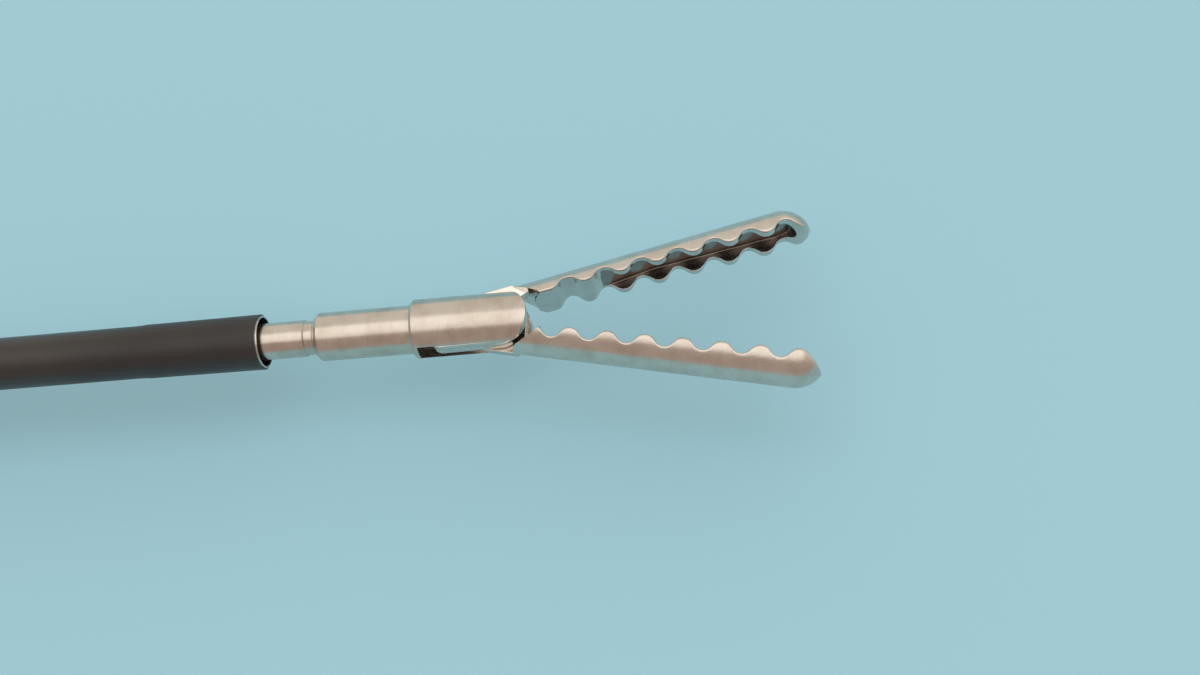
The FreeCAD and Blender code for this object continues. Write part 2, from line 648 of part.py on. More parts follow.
nodes.append(turned("insert_body", [
    (BODY_REAR, "neck_radius"), (BODY_REAR + " + neck_seat", "neck_radius"), (BODY_REAR + " + neck_seat", "rod_bore"),
    (SHOULDER + " - spigot_length", "rod_bore"), (SHOULDER + " - spigot_length", "spigot_radius"),
    (SHOULDER, "spigot_radius"), (SHOULDER, "body_radius"), (BODY_REAR + " + body_edge", "body_radius"),
    (BODY_REAR, "body_radius - body_edge")]))

GROOVE = "(" + BODY_REAR + " - neck_groove_width)"
nodes.append(turned("inner_tube", [
    ("-core_rear", "rod_bore"), (BODY_REAR + " + neck_seat", "rod_bore"), (BODY_REAR + " + neck_seat", "neck_radius"),
    (BODY_REAR + " - neck_groove", "neck_radius"), (BODY_REAR + " - 2 * neck_groove", "neck_radius - neck_groove"),
    (GROOVE, "neck_radius - neck_groove"), (GROOVE + " - neck_groove", "neck_radius"), ("-core_rear", "neck_radius")]))

# Outer tube with its socket, insulating sleeve and latch collar.
nodes.append(turned("shaft_tube", [
    ("-collar_rear", "tube_inner"), (TUBE_FRONT, "tube_inner"), (TUBE_FRONT, "tube_outer"),
    ("-collar_rear", "tube_outer")]))
nodes.append(turned("shaft_socket", [
    (TUBE_FRONT, "tube_inner"), (SOCKET_REAR, "tube_inner"), (SOCKET_REAR, "body_radius + socket_gap"),
    ("tube_end", "body_radius + socket_gap"), ("tube_end", SOCKET_OUTER), (TUBE_FRONT, SOCKET_OUTER)]))
nodes.append(turned("shaft_insulation", [
    (COLLAR_FRONT, "tube_outer"), (TUBE_FRONT, "tube_outer"), (TUBE_FRONT, SOCKET_OUTER),
    ("tube_end - rim_length", SOCKET_OUTER), ("tube_end - rim_length", "band_radius"),
    ("tube_end - band_length", "band_rear"), ("tube_end - band_length - band_swell", "sleeve_radius"),
    ("0", "sleeve_radius"), ("0", "rear_radius"), (COLLAR_FRONT, "rear_radius")]))
nodes.append(turned("latch_collar", [
    ("-collar_rear", "tube_outer"), (COLLAR_FRONT, "tube_outer"), (COLLAR_FRONT, "collar_radius"),
    (GROOVE_MID + " + groove_width / 2", "collar_radius"), (GROOVE_MID + " + groove_width / 2", "groove_radius"),
    (GROOVE_MID + " - groove_width / 2", "groove_radius"), (GROOVE_MID + " - groove_width / 2", "collar_radius"),
    ("-collar_rear", "collar_radius")]))

# Rotation knob with its core, seal and tube lock.
knob_blank = turned("knob_blank", [
    ("-knob_rear", "core_radius"), ("-core_front", "core_radius"), ("-core_front", "rear_radius + knob_gap"),
    ("-knob_face", "rear_radius + knob_gap"), ("-knob_face", "knob_nose"), ("-knob_face - knob_cone", "knob_radius"),
    ("knob_edge - knob_rear", "knob_radius"), ("-knob_rear", "knob_radius - knob_edge")])
flutes = []
for i in range(int(value("flute_count"))):
    flute = rod("knob_flute_%d" % (i + 1), "flute_radius", "knob_rear", x="-knob_rear - 1", along="X")
    turn = "(flute_turn + %d * 360 / flute_count)" % i
    bind(flute, Placement__Base__y="flute_offset * cos(%s)" % turn, Placement__Base__z="flute_offset * sin(%s)" % turn)
    flutes.append(flute)
lock_hole = rod("knob_lock_hole", "lock_radius + lock_gap", "lock_top", x="-lock_back", along="Y")
lock_well = rod("knob_lock_well", "lock_head + 4 * lock_gap", "lock_top", x="-lock_back",
                y="lock_top - lock_cap_height - lock_travel - 2 * lock_gap", along="Y")
nodes.append(finish(cut("rotation_knob", knob_blank, flutes + [lock_hole, lock_well]), "rotation_knob"))

core_blank = turned("core_blank", [
    ("-core_rear", "neck_radius"), ("-seal_back - seal_cord", "neck_radius"),
    ("-seal_back - seal_cord", "neck_radius + 2 * seal_cord"),
    ("-seal_back + seal_cord", "neck_radius + 2 * seal_cord"), ("-seal_back + seal_cord", "neck_radius"),
    ("-core_floor", "neck_radius"), ("-core_floor", "core_bore"), ("-core_front", "core_bore"),
    ("-core_front", "core_radius"), ("-flange_front", "core_radius"), ("-flange_front", "flange_radius"),
    ("-flange_front - flange_width", "flange_radius"),
    ("-flange_front - flange_width", "core_radius"), ("-core_rear", "core_radius")])
core_hole = rod("core_lock_hole", "lock_radius + lock_gap", "lock_top", x="-lock_back", along="Y")
nodes.append(finish(cut("knob_core", core_blank, [core_hole]), "knob_core"))

seal = doc.addObject("Part::Torus", "shaft_seal")
seal.Placement = FreeCAD.Placement(FreeCAD.Vector(), FreeCAD.Rotation(FreeCAD.Vector(0, 1, 0), 90))
bind(seal, Radius1="neck_radius + seal_cord", Radius2="seal_cord", Placement__Base__x="-seal_back")
nodes.append(finish(seal, "shaft_seal"))

lock_stem = rod("tube_lock_stem", "lock_radius", "lock_top - lock_tip", x="-lock_back", y="lock_tip", along="Y")
lock_cap = rod("tube_lock_cap", "lock_head", "lock_cap_height", x="-lock_back", y="lock_top - lock_cap_height", along="Y")
nodes.append(finish(fused("tube_lock", [lock_stem, lock_cap]), "tube_lock"))

# Thumb lever: horn round the rod's ball, hub on the pivot screw, arm and thumb ring.
lever_at = (-value("lever_back"), -value(LEVER_DROP))
thumb_at = (-value("thumb_back"), -value("thumb_drop"))
arm_at = (-value("arm_back"), -value("arm_drop"))
hub = value("lever_hub")
horn = value("lever_horn")
ring_out = value("ring_hole + ring_wall")


def turned_about(point, degrees, centre):
    angle = math.radians(degrees)
    dx = point[0] - centre[0]
    dy = point[1] - centre[1]
    return (centre[0] + dx * math.cos(angle) - dy * math.sin(angle),
            centre[1] + dx * math.sin(angle) + dy * math.cos(angle))


def lever_outlines(turn, gap):
    """The lever's horn and arm as belts, at a turn from rest and grown by a gap."""
    ball_at = turned_about((lever_at[0], 0.0), turn, lever_at)
    bend = turned_about(arm_at, turn, lever_at)
    arm_width = value("arm_radius")
    return [belt([(lever_at[0], lever_at[1], hub + gap), (ball_at[0], ball_at[1], horn + gap)]),
            belt([(bend[0], bend[1], arm_width + gap), (lever_at[0], lever_at[1], hub + gap)])]


both_faces = ["-lever_half", "lever_half"]
arm_width = value("arm_radius")
head_edges, arm_edges = lever_outlines(0, 0)
lever_head = prism("lever_head", head_edges, *both_faces)
lever_arm = eased("lever_arm", prism("lever_arm_bar", arm_edges, *both_faces), "lever_edge", both_faces)
link_edges = belt([thumb_at + (arm_width,), arm_at + (arm_width,)])
lever_link = eased("lever_link", prism("lever_link_bar", link_edges, *both_faces), "lever_edge", both_faces)
ring_faces = ["-lever_ring_half", "lever_ring_half"]
ring_edges = circle(thumb_at, ring_out) + circle(thumb_at, value("ring_hole"))
lever_ring = eased("lever_ring", prism("lever_ring_bar", ring_edges, *ring_faces), "grip_edge", ring_faces)
lever_cuts = [
    prism("lever_thumb_hole", circle(thumb_at, value("ring_hole")), "-2 * lever_half", "2 * lever_half"),
    rod("lever_bolt_hole", "bolt_radius + bolt_gap", "4 * lever_half", x="-lever_back", y="-" + LEVER_DROP,
        z="-2 * lever_half"),
    block("lever_ball_slot", ("-lever_back - ball_radius - ball_gap", "-ball_radius - ball_gap", "-ball_radius - ball_gap"),
          ("-lever_back + ball_radius + ball_gap", "2 * lever_horn", "ball_radius + ball_gap")),
    block("lever_rod_slot", ("-lever_back", "-rod_way", "-rod_radius - ball_gap"),
          ("2 * lever_horn - lever_back", "2 * lever_horn", "rod_radius + ball_gap"))]


def ring_sector(name, inner, outer, first, last, low, high):
    """A flat arc about the lever pivot between two angles below +X."""
    near = [polar(inner, -a, lever_at) for a in (first, (first + last) / 2, last)]
    far = [polar(outer, -a, lever_at) for a in (last, (first + last) / 2, first)]
    return prism(name, [arc(*near), segment(near[2], far[0]), arc(*far), segment(far[2], near[0])], low, high)


rack_out = value("rack_radius")
rack_in = rack_out - value("rack_height")
rack_seat = value("rack_root")
rack_fit = value("rack_fit")
rack_face = ["-rack_half", "rack_half"]
lever_cuts.append(ring_sector("lever_rack_slot", rack_in - rack_fit, rack_out + rack_fit,
                              rack_seat - value("rack_entry"), rack_seat + rack_fit, *rack_face))
RACK_PIN_TURN = "(rack_root - rack_pin_turn)"
RACK_PIN_X = "((rack_radius - rack_height / 2) * cos" + RACK_PIN_TURN + " - lever_back)"
RACK_PIN_Y = "(-(rack_radius - rack_height / 2) * sin" + RACK_PIN_TURN + " - " + LEVER_DROP + ")"


def rack_pin(name):
    return rod(name, "rack_pin_radius", "2 * lever_half - 2 * lever_edge", x=RACK_PIN_X, y=RACK_PIN_Y,
               z="lever_edge - lever_half")


lever_cuts.append(rack_pin("lever_rack_pin_hole"))
lever_whole = fused("lever_whole", [lever_head, lever_arm, lever_link, lever_ring])
nodes.append(finish(cut("thumb_lever", lever_whole, lever_cuts), "thumb_lever"))
nodes.append(finish(rack_pin("rack_pin"), "rack_pin"))


def rack_edges():
    """The ratchet rack: a bar bent about the lever pivot, saw teeth on its outer edge."""
    tip = value("rack_tip")
    root = value("rack_root")
    tooth = value("rack_tooth")
    step = value("rack_step")
    teeth = int(value("lever_close") / step) + 2
    start = polar(rack_in, -tip, lever_at)
    edges = [segment(start, polar(rack_out - tooth, -tip, lever_at))]
    last = polar(rack_out - tooth, -tip, lever_at)
    for k in range(teeth):
        crest = polar(rack_out, -(tip + k * step + step * 0.8), lever_at)
        valley = polar(rack_out - tooth, -(tip + (k + 1) * step), lever_at)
        edges += [segment(last, crest), segment(crest, valley)]
        last = valley
    toothed = tip + teeth * step
    far = [polar(rack_out - tooth, -a, lever_at) for a in (toothed, (toothed + root) / 2, root)]
    near = [polar(rack_in, -a, lever_at) for a in (root, (tip + root) / 2, tip)]
    return edges + [arc(*far), segment(far[2], near[0]), arc(*near)]


rack_bar = prism("rack_bar", rack_edges(), *rack_face)
nodes.append(finish(cut("ratchet_rack", rack_bar, [rack_pin("rack_pin_hole")]), "ratchet_rack"))

# Ratchet catch: a small two-armed lever under the rack, off at rest.
catch_at = (value(CATCH_X), value(CATCH_Y))
tip_angle = -value("rack_tip + catch_teeth * rack_step")
catch_turn = value("catch_turn")
tip_at = turned_about(polar(rack_out - value("catch_depth"), tip_angle, lever_at), catch_turn, catch_at)
knee_at = turned_about(polar(rack_out + value("catch_knee"), tip_angle, lever_at), catch_turn, catch_at)
trigger_at = (catch_at[0] + value("trigger_reach"), catch_at[1] + value("trigger_rise"))
hook = tip_at + (value("hook_tip"),)
knee = knee_at + (value("hook_knee"),)
catch_hub = catch_at + (value("catch_hub"),)
trigger = trigger_at + (value("trigger_radius"),)
catch_parts = [prism("catch_hook", belt([hook, knee]), *rack_face),
               prism("catch_arm", belt([catch_hub, knee]), *rack_face),
               prism("catch_trigger", belt([catch_hub, trigger]), *rack_face)]
catch_hole = rod("catch_hole", "catch_pin_radius + bolt_gap", "4 * rack_half", x=CATCH_X, y=CATCH_Y, z="-2 * rack_half")
nodes.append(finish(cut("ratchet_catch", fused("catch_whole", catch_parts), [catch_hole]), "ratchet_catch"))


def catch_pin(name):
    return rod(name, "catch_pin_radius", "2 * grip_half - 2 * pin_skin", x=CATCH_X, y=CATCH_Y, z="pin_skin - grip_half")


def catch_spring(name, radius, height):
    return rod(name, radius, height, x=CATCH_X, y=CATCH_Y, z="rack_half + slot_gap")


nodes.append(finish(catch_pin("catch_pin"), "catch_pin"))
spring_bore = catch_spring("catch_spring_bore", "catch_pin_radius + spring_gap", "2 * spring_height")
spring_coil = catch_spring("catch_spring_coil", "spring_radius", "spring_height")
nodes.append(finish(cut("catch_spring", spring_coil, [spring_bore]), "catch_spring"))

# Handle shells: two halves that meet at Z = 0, with the finger ring.
finger_x = -value("finger_back")
finger_top = -value("finger_top")
finger_low = -value("finger_low")
ring_in = value("ring_hole")
hub_r = value("hub_radius")
front_x = -value("shell_front") - hub_r
throat = (-value("throat_back"), -value("throat_drop"), value("throat_radius"))
saddle = (-value("saddle_back"), -value("saddle_drop"), value("saddle_radius"))
house_rear = (-value("house_back"), value("house_rise"), hub_r)
BOLT = {"x": "-lever_back", "y": "-" + LEVER_DROP}
SCREWS = [("-neck_screw_back", "-neck_screw_drop", "shell_half"),
          ("-rear_screw_back", "rear_screw_rise", "shell_half"),
          ("-finger_back - ring_hole - ring_wall / 2", "-finger_low", "grip_half"),
          ("-finger_back + ring_hole + ring_wall / 2", "-finger_low", "grip_half")]


def shell_form(label, side):
    """The outer form of one half: housing, round nose, grip and finger ring, with eased edges."""
    face = "shell_half" if side > 0 else "-shell_half"
    grip_face = "grip_half" if side > 0 else "-grip_half"
    spans = [("0", face), ("0", grip_face)] if side > 0 else [(face, "0"), (grip_face, "0")]
    house_bar = prism(label + "_house_bar", belt([(front_x, 0.0, hub_r), house_rear, saddle, throat]), *spans[0])
    house = eased(label + "_house", house_bar, "house_edge", [face])
    nose = rod(label + "_nose", "nose_radius", "hub_radius", x="-shell_front - hub_radius", along="X")
    half = block(label + "_nose_half", ("-shell_front - hub_radius", "-shell_half", spans[0][0]),
                 ("-shell_front", "shell_half", spans[0][1]))
    inset = value("neck_inset")
    neck_belt = belt([(throat[0], throat[1], throat[2] - inset), (finger_x, -value("grip_drop"), value("grip_radius")),
                      (finger_x, throat[1], saddle[2] - inset)])
    neck = prism(label + "_neck", neck_belt, *spans[1])
    ring_belt = belt([(finger_x, finger_top, ring_out), (finger_x, finger_low, ring_out)])
    ring = prism(label + "_ring", ring_belt, *spans[1])
    hole_belt = belt([(finger_x, finger_top, ring_in), (finger_x, finger_low, ring_in)])
    hole = prism(label + "_finger_hole", hole_belt, "-shell_half", "shell_half")
    grip_bar = cut(label + "_grip_bar", fused(label + "_grip_blank", [neck, ring]), [hole])
    grip = eased(label + "_grip", grip_bar, "grip_edge", [grip_face])
    return fused(label + "_whole", [house, common(label + "_front", nose, half), grip])


def lever_ways(label):
    """The space that the lever sweeps inside the handle, as its outlines at a few turns."""
    steps = 5
    swing = value("lever_close") + value(LEVER_OPEN)
    ways = []
    for k in range(steps):
        outlines = lever_outlines(swing * k / (steps - 1) - value(LEVER_OPEN), value("lever_sweep_gap"))
        for part, edges in zip(("head", "arm"), outlines):
            ways.append(prism("%s_%s_way_%d" % (label, part, k), edges, "-cavity_half", "cavity_half"))
    return ways


def ratchet_ways(label):
    """The slots for the rack and the catch, and the seats of the catch's pin and spring."""
    faces = ["-rack_half - slot_gap", "rack_half + slot_gap"]
    gap = value("rack_way_gap")
    mouth = (trigger_at[0] + value("way_reach"), trigger_at[1], value("way_mouth"))
    path = belt([tip_at + (value("way_hook"),), catch_at + (value("way_hub"),), mouth])
    return [ring_sector(label + "_rack_way", rack_in - gap, rack_out + gap, value("rack_way_front"),
                        value("rack_way_rear"), *faces),
            prism(label + "_catch_way", path, *faces), catch_pin(label + "_catch_pin"),
            catch_spring(label + "_spring_seat", "spring_radius + spring_gap", "spring_height + spring_gap")]


def shell(label, side):
    """One half of the handle: side is 1 above the joint plane and -1 below it."""
    tools = lever_ways(label) + ratchet_ways(label)
    tools += [
        rod(label + "_journal", "core_radius + journal_gap", "core_rear - shell_front + 2", x="-core_rear - port_step", along="X"),
        rod(label + "_flange_way", "flange_radius + flange_gap", "flange_width + 2 * flange_gap",
            x="-flange_front - flange_width - flange_gap", along="X"),
        rod(label + "_rod_way", "rod_radius + slot_gap", "lever_back - core_rear + 1", x="-lever_back", along="X"),
        rod(label + "_bolt", "bolt_radius", "4 * shell_half", z="-2 * shell_half", **BOLT),
        rod(label + "_bolt_head", "bolt_head", "2 * bolt_head_height",
            z="shell_half - bolt_head_height" if side > 0 else "-shell_half - bolt_head_height", **BOLT),
        rod(label + "_plug", "plug_radius + collar_wall", "2 * hub_radius", x="-plug_back", y="plug_foot", along="Y"),
        rod(label + "_contact", "contact_radius", "plug_foot", x="-plug_back", along="Y"),
        rod(label + "_port", "port_radius", "2 * hub_radius", x="-port_back", y="core_radius + journal_gap", along="Y")]
    for i, (x, y, half) in enumerate(SCREWS):
        name = "%s_screw_%d" % (label, i)
        if side > 0:
            tools.append(rod(name, "screw_radius", half, x=x, y=y))
            tools.append(rod(name + "_head", "screw_head", "2 * screw_head_height", x=x, y=y, z=half + " - screw_head_height"))
        else:
            tools.append(rod(name, "screw_radius", "screw_reach", x=x, y=y, z="-screw_reach"))
    return finish(cut(label, shell_form(label, side), tools), label)


nodes.append(shell("handle_shell_upper", 1))
nodes.append(shell("handle_shell_lower", -1))

# Pivot screw with its nut, and the shell screws.
bolt_shank = rod("lever_pivot_shank", "bolt_radius", "2 * shell_half - bolt_head_height - bolt_end_gap",
                 z="bolt_end_gap - shell_half", **BOLT)
bolt_top = rod("lever_pivot_top", "bolt_head", "bolt_head_height", z="shell_half - bolt_head_height", **BOLT)
nodes.append(finish(fused("lever_pivot_screw", [bolt_shank, bolt_top]), "lever_pivot_screw"))
nut = rod("lever_pivot_nut_ring", "bolt_head", "bolt_head_height", z="-shell_half", **BOLT)
nut_hole = rod("lever_pivot_nut_hole", "bolt_radius", "4 * bolt_head_height", z="-shell_half - bolt_head_height", **BOLT)
nodes.append(finish(cut("lever_pivot_nut", nut, [nut_hole]), "lever_pivot_nut"))
screws = []
for i, (x, y, half) in enumerate(SCREWS):
    shank = rod("shell_screw_shank_%d" % i, "screw_radius", half + " + screw_reach - screw_head_height",
                x=x, y=y, z="-screw_reach")
    top = rod("shell_screw_top_%d" % i, "screw_head", "screw_head_height", x=x, y=y, z=half + " - screw_head_height")
    screws.append(fused("shell_screw_%d" % i, [shank, top]))
group = doc.addObject("Part::Compound", "shell_screws")
group.Links = screws
nodes.append(finish(group, "shell_screws"))

# Current connector in its insulating collar, with the contact that rubs on the core's journal.
plug = {"x": "-plug_back", "along": "Y"}
plug_pin = rod("hf_connector_pin", "plug_radius", "plug_top - plug_collar_top", y="plug_collar_top", **plug)
plug_neck = rod("hf_connector_neck", "plug_neck", "plug_top - plug_foot", y="plug_foot", **plug)
plug_base = rod("hf_connector_base", "plug_base", "plug_base_height", y="plug_foot", **plug)
nodes.append(finish(fused("hf_connector", [plug_pin, plug_neck, plug_base]), "hf_connector"))
collar_ring = rod("hf_collar_ring", "plug_radius + collar_wall", "plug_collar_top - plug_foot", y="plug_foot", **plug)
collar_hole = rod("hf_collar_hole", "plug_neck", "plug_top", **plug)
collar_well = rod("hf_collar_well", "plug_base", "plug_foot + plug_base_height", **plug)
nodes.append(finish(cut("hf_collar", collar_ring, [collar_hole, collar_well]), "hf_collar"))
contact = rod("hf_contact", "contact_radius", "plug_foot - core_radius - journal_gap", y="core_radius + journal_gap", **plug)
nodes.append(finish(contact, "hf_contact"))

# Flush port with its cap.
port = {"x": "-port_back", "along": "Y"}
port_ring = rod("flush_port_ring", "port_radius", "port_top - core_radius - port_step", y="core_radius + port_step", **port)
port_hole = rod("flush_port_hole", "port_bore", "port_top", **port)
nodes.append(finish(cut("flush_port", port_ring, [port_hole]), "flush_port"))
CAP_FOOT = "port_top - cap_height + cap_roof"
cap_round = rod("flush_cap_round", "cap_radius", "cap_height", y=CAP_FOOT, **port)
cap_hole = rod("flush_cap_hole", "port_radius + bolt_gap", "cap_height - cap_roof", y=CAP_FOOT, **port)
nodes.append(finish(cut("flush_cap", cap_round, [cap_hole]), "flush_cap"))

doc.recompute()
for item in doc.Objects:
    if "Invalid" in item.State or "Error" in item.State:
        raise RuntimeError("%s failed: %s" % (item.Label, item.State))
for node in nodes:
    if node.Shape.isNull() or not node.Shape.isValid():
        raise RuntimeError("%s has no valid shape" % node.Label)
os.makedirs("parts", exist_ok=True)
for node in nodes:
    node.Shape.exportStep("parts/%s.step" % node.Label)
print("%d nodes written" % len(nodes))
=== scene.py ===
import math

import bmesh
import bpy
from mathutils import Matrix, Vector


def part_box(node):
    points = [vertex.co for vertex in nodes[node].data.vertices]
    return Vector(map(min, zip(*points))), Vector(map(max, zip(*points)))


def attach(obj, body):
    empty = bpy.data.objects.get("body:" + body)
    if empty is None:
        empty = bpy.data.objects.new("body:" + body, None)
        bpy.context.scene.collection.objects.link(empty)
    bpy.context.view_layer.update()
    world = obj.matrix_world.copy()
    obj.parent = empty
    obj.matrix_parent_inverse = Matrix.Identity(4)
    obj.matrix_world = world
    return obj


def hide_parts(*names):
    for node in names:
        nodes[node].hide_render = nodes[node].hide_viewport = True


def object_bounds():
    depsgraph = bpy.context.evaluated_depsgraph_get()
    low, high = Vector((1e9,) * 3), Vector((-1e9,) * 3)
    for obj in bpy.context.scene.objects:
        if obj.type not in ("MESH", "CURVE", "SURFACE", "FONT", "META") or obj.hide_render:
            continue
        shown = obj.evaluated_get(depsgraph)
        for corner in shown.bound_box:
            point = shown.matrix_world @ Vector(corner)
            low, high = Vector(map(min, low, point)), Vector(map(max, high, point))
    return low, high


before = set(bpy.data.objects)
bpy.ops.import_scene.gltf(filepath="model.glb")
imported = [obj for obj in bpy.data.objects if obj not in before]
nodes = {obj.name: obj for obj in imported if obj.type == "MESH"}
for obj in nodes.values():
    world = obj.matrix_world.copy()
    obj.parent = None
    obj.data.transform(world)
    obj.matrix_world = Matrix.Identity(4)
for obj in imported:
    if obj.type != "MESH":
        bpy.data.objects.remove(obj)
cad_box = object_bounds()

# Camera: held above the open jaws and leaning over towards the grips, as the photograph was taken.
# Its distances are from the jaw pivot, and the whole instrument lies flat under it.
MM = 0.001
pin_low, pin_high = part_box("jaw_pivot_pin")
pivot = Vector(((pin_low.x + pin_high.x) / 2, 0, 0))
camera_from_pivot = Vector((15.57, -39.06, 98.51)) * MM
camera_lean = math.radians(20.57)
camera_swing = math.radians(3.948)
camera_turn = math.radians(-4.71)
frame_width_pixels = 1200
focal_pixels = 1278.0
sensor_mm = 36.0

camera_data = bpy.data.cameras.new("camera")
camera_data.sensor_width = sensor_mm
camera_data.lens = sensor_mm * focal_pixels / frame_width_pixels
camera_data.clip_start = 0.005
camera = bpy.data.objects.new("camera", camera_data)
bpy.context.scene.collection.objects.link(camera)
turning = (Matrix.Rotation(camera_lean, 4, "X") @ Matrix.Rotation(camera_swing, 4, "Y")
           @ Matrix.Rotation(camera_turn, 4, "Z"))
camera.matrix_world = Matrix.Translation(pivot + camera_from_pivot) @ turning
bpy.context.scene.camera = camera

# Fork, insert body and inner tube: turned from stainless bar and welded end to end. They make the
# outside of the insert, over which the outer tube slides. A fine lay from turning runs round them.


def linear(hex_colour):
    """A colour written as sRGB hex, turned to the linear numbers that the shaders use."""
    levels = [int(hex_colour[i:i + 2], 16) / 255 for i in (1, 3, 5)]
    return [level / 12.92 if level <= 0.04045 else ((level + 0.055) / 1.055) ** 2.4
            for level in levels] + [1.0]


def add(tree, kind, settings=None, inputs=None):
    """Add a node with its settings, and set its inputs to values or to the sockets that feed them."""
    node = tree.nodes.new(kind)
    for name, setting in (settings or {}).items():
        setattr(node, name, setting)
    for name, source in (inputs or {}).items():
        if isinstance(source, bpy.types.NodeSocket):
            tree.links.new(source, node.inputs[name])
        else:
            node.inputs[name].default_value = source
    return node


def new_material(name):
    material = bpy.data.materials.new(name)
    material.use_nodes = True
    material.node_tree.nodes.clear()
    return material, material.node_tree


stain_mm = 1.6


def steel(name, tone, stain, roughness, spread, grit_mm, lay, bump):
    """Stainless steel: a tone with faint stains, a grit stretched along the lay of its grinding."""
    material, tree = new_material(name)
    place = add(tree, "ShaderNodeTexCoord").outputs["Object"]
    stretched = add(tree, "ShaderNodeMapping", {"vector_type": "POINT"}, {"Vector": place, "Scale": lay})
    grit = add(tree, "ShaderNodeTexNoise", None,
               {"Vector": stretched.outputs["Vector"], "Scale": 1 / (grit_mm * MM), "Detail": 3.0})
    stains = add(tree, "ShaderNodeTexNoise", None,
                 {"Vector": place, "Scale": 1 / (stain_mm * MM), "Detail": 4.0})
    mottle = add(tree, "ShaderNodeMapRange", None,
                 {"Value": stains.outputs["Fac"], "From Min": 0.42, "From Max": 0.72})
    colour = add(tree, "ShaderNodeMix", {"data_type": "RGBA"},
                 {"Factor": mottle.outputs["Result"], 6: linear(tone), 7: linear(stain)})
    gloss = add(tree, "ShaderNodeMapRange", None,
                {"Value": grit.outputs["Fac"], "From Min": 0.3, "From Max": 0.7,
                 "To Min": roughness - spread, "To Max": roughness + spread})
    relief = add(tree, "ShaderNodeBump", None,
                 {"Height": grit.outputs["Fac"], "Strength": bump, "Distance": grit_mm * MM / 2})
    shader = add(tree, "ShaderNodeBsdfPrincipled", None,
                 {"Base Color": colour.outputs[2], "Metallic": 1.0, "Roughness": gloss.outputs["Result"],
                  "Normal": relief.outputs["Normal"]})
    add(tree, "ShaderNodeOutputMaterial", None, {"Surface": shader.outputs["BSDF"]})
    return material


def finish_node(node, material):
    nodes[node].data.materials.clear()
    nodes[node].data.materials.append(material)


turned_steel = steel("turned_satin_steel", "#CFC6BB", "#BFB3A6", 0.25, 0.05, 0.10, (1, 0.15, 0.15), 0.05)
for node in ("jaw_fork", "insert_body", "inner_tube"):
    finish_node(node, turned_steel)

# Jaws: cast stainless steel, ground round outside and tumbled to a soft satin. The waves of the bite
# and its long hollow are milled and polished, so they mirror what lies beside them. The hollow and the
# rear shoulder facet are given a darker steel tone, which is painted shade. Each jaw turns on
# the pivot pin by its flat tang, drawn here in its own frame: pivot at the origin, tip on +X, back on +Y.
jaw_length = 27.1
back_radius = 2.49
shoulder_foot = (1.9, 2.15)
shoulder_lean = 0.96
shoulder_slant = 0.55
bite_root = 1.085
bite_slope = (0.33 - bite_root) / jaw_length
tooth_pitch = 3.09
half_tooth = 0.4
first_notch = {"jaw_upper": 6.35, "jaw_lower": 4.805}
crest_radius = (tooth_pitch / 4 - half_tooth) / (math.sqrt(2) - 1)
crest_reach = crest_radius * math.sin(math.pi / 4)
crest_drop = crest_radius * (1 - math.cos(math.pi / 4))
nose_slope = math.radians(40)
nose_radius = 1.0
rim_round = 0.26
lip_round = 0.06
hollow_start = 9.2
hollow_rise = 4.4
hollow_entry = 0.36
hollow_depth = 0.82
hollow_half = 1.6
hollow_end = 25.9
floor_fillet = 0.12
back_steps = 16
rim_steps = 6
land_steps = 3
floor_steps = 3
last_rim = back_steps + rim_steps - 3
last_lip = back_steps + rim_steps + 2 * land_steps - 1
jaw_angle = math.radians(12.2)


def tooth_level(along, jaw):
    """Height of the bite above its mean line: a flat land, then arcs and flanks, then the nose's flank."""
    notch = first_notch[jaw]
    if along < notch - tooth_pitch / 2:
        return -half_tooth
    whole_teeth = math.floor((jaw_length - half_tooth - notch) / tooth_pitch - 0.5)
    last_crest = notch + tooth_pitch * (whole_teeth + 0.5)
    past = along - last_crest
    if past > 0:
        reach = nose_radius * math.sin(nose_slope)
        if past < reach:
            return nose_radius - math.sqrt(nose_radius ** 2 - past ** 2) - half_tooth
        return nose_radius * (1 - math.cos(nose_slope)) + (past - reach) * math.tan(nose_slope) - half_tooth
    step = round((along - notch) / (tooth_pitch / 2))
    off = abs(along - notch - step * tooth_pitch / 2)
    side = 1 if step % 2 == 0 else -1
    if off < crest_reach:
        return side * (half_tooth - crest_radius + math.sqrt(crest_radius ** 2 - off ** 2))
    return side * (half_tooth - crest_drop - off + crest_reach)


def bend(first, corner, last, steps):
    """Points of a smooth corner between two others, without the first."""
    shares = [k / steps for k in range(1, steps + 1)]
    return [tuple(a * (1 - t) ** 2 + 2 * b * t * (1 - t) + c * t * t
                  for a, b, c in zip(first, corner, last)) for t in shares]


def straight(first, last, steps):
    return [tuple(a + (b - a) * k / steps for a, b in zip(first, last)) for k in range(1, steps + 1)]


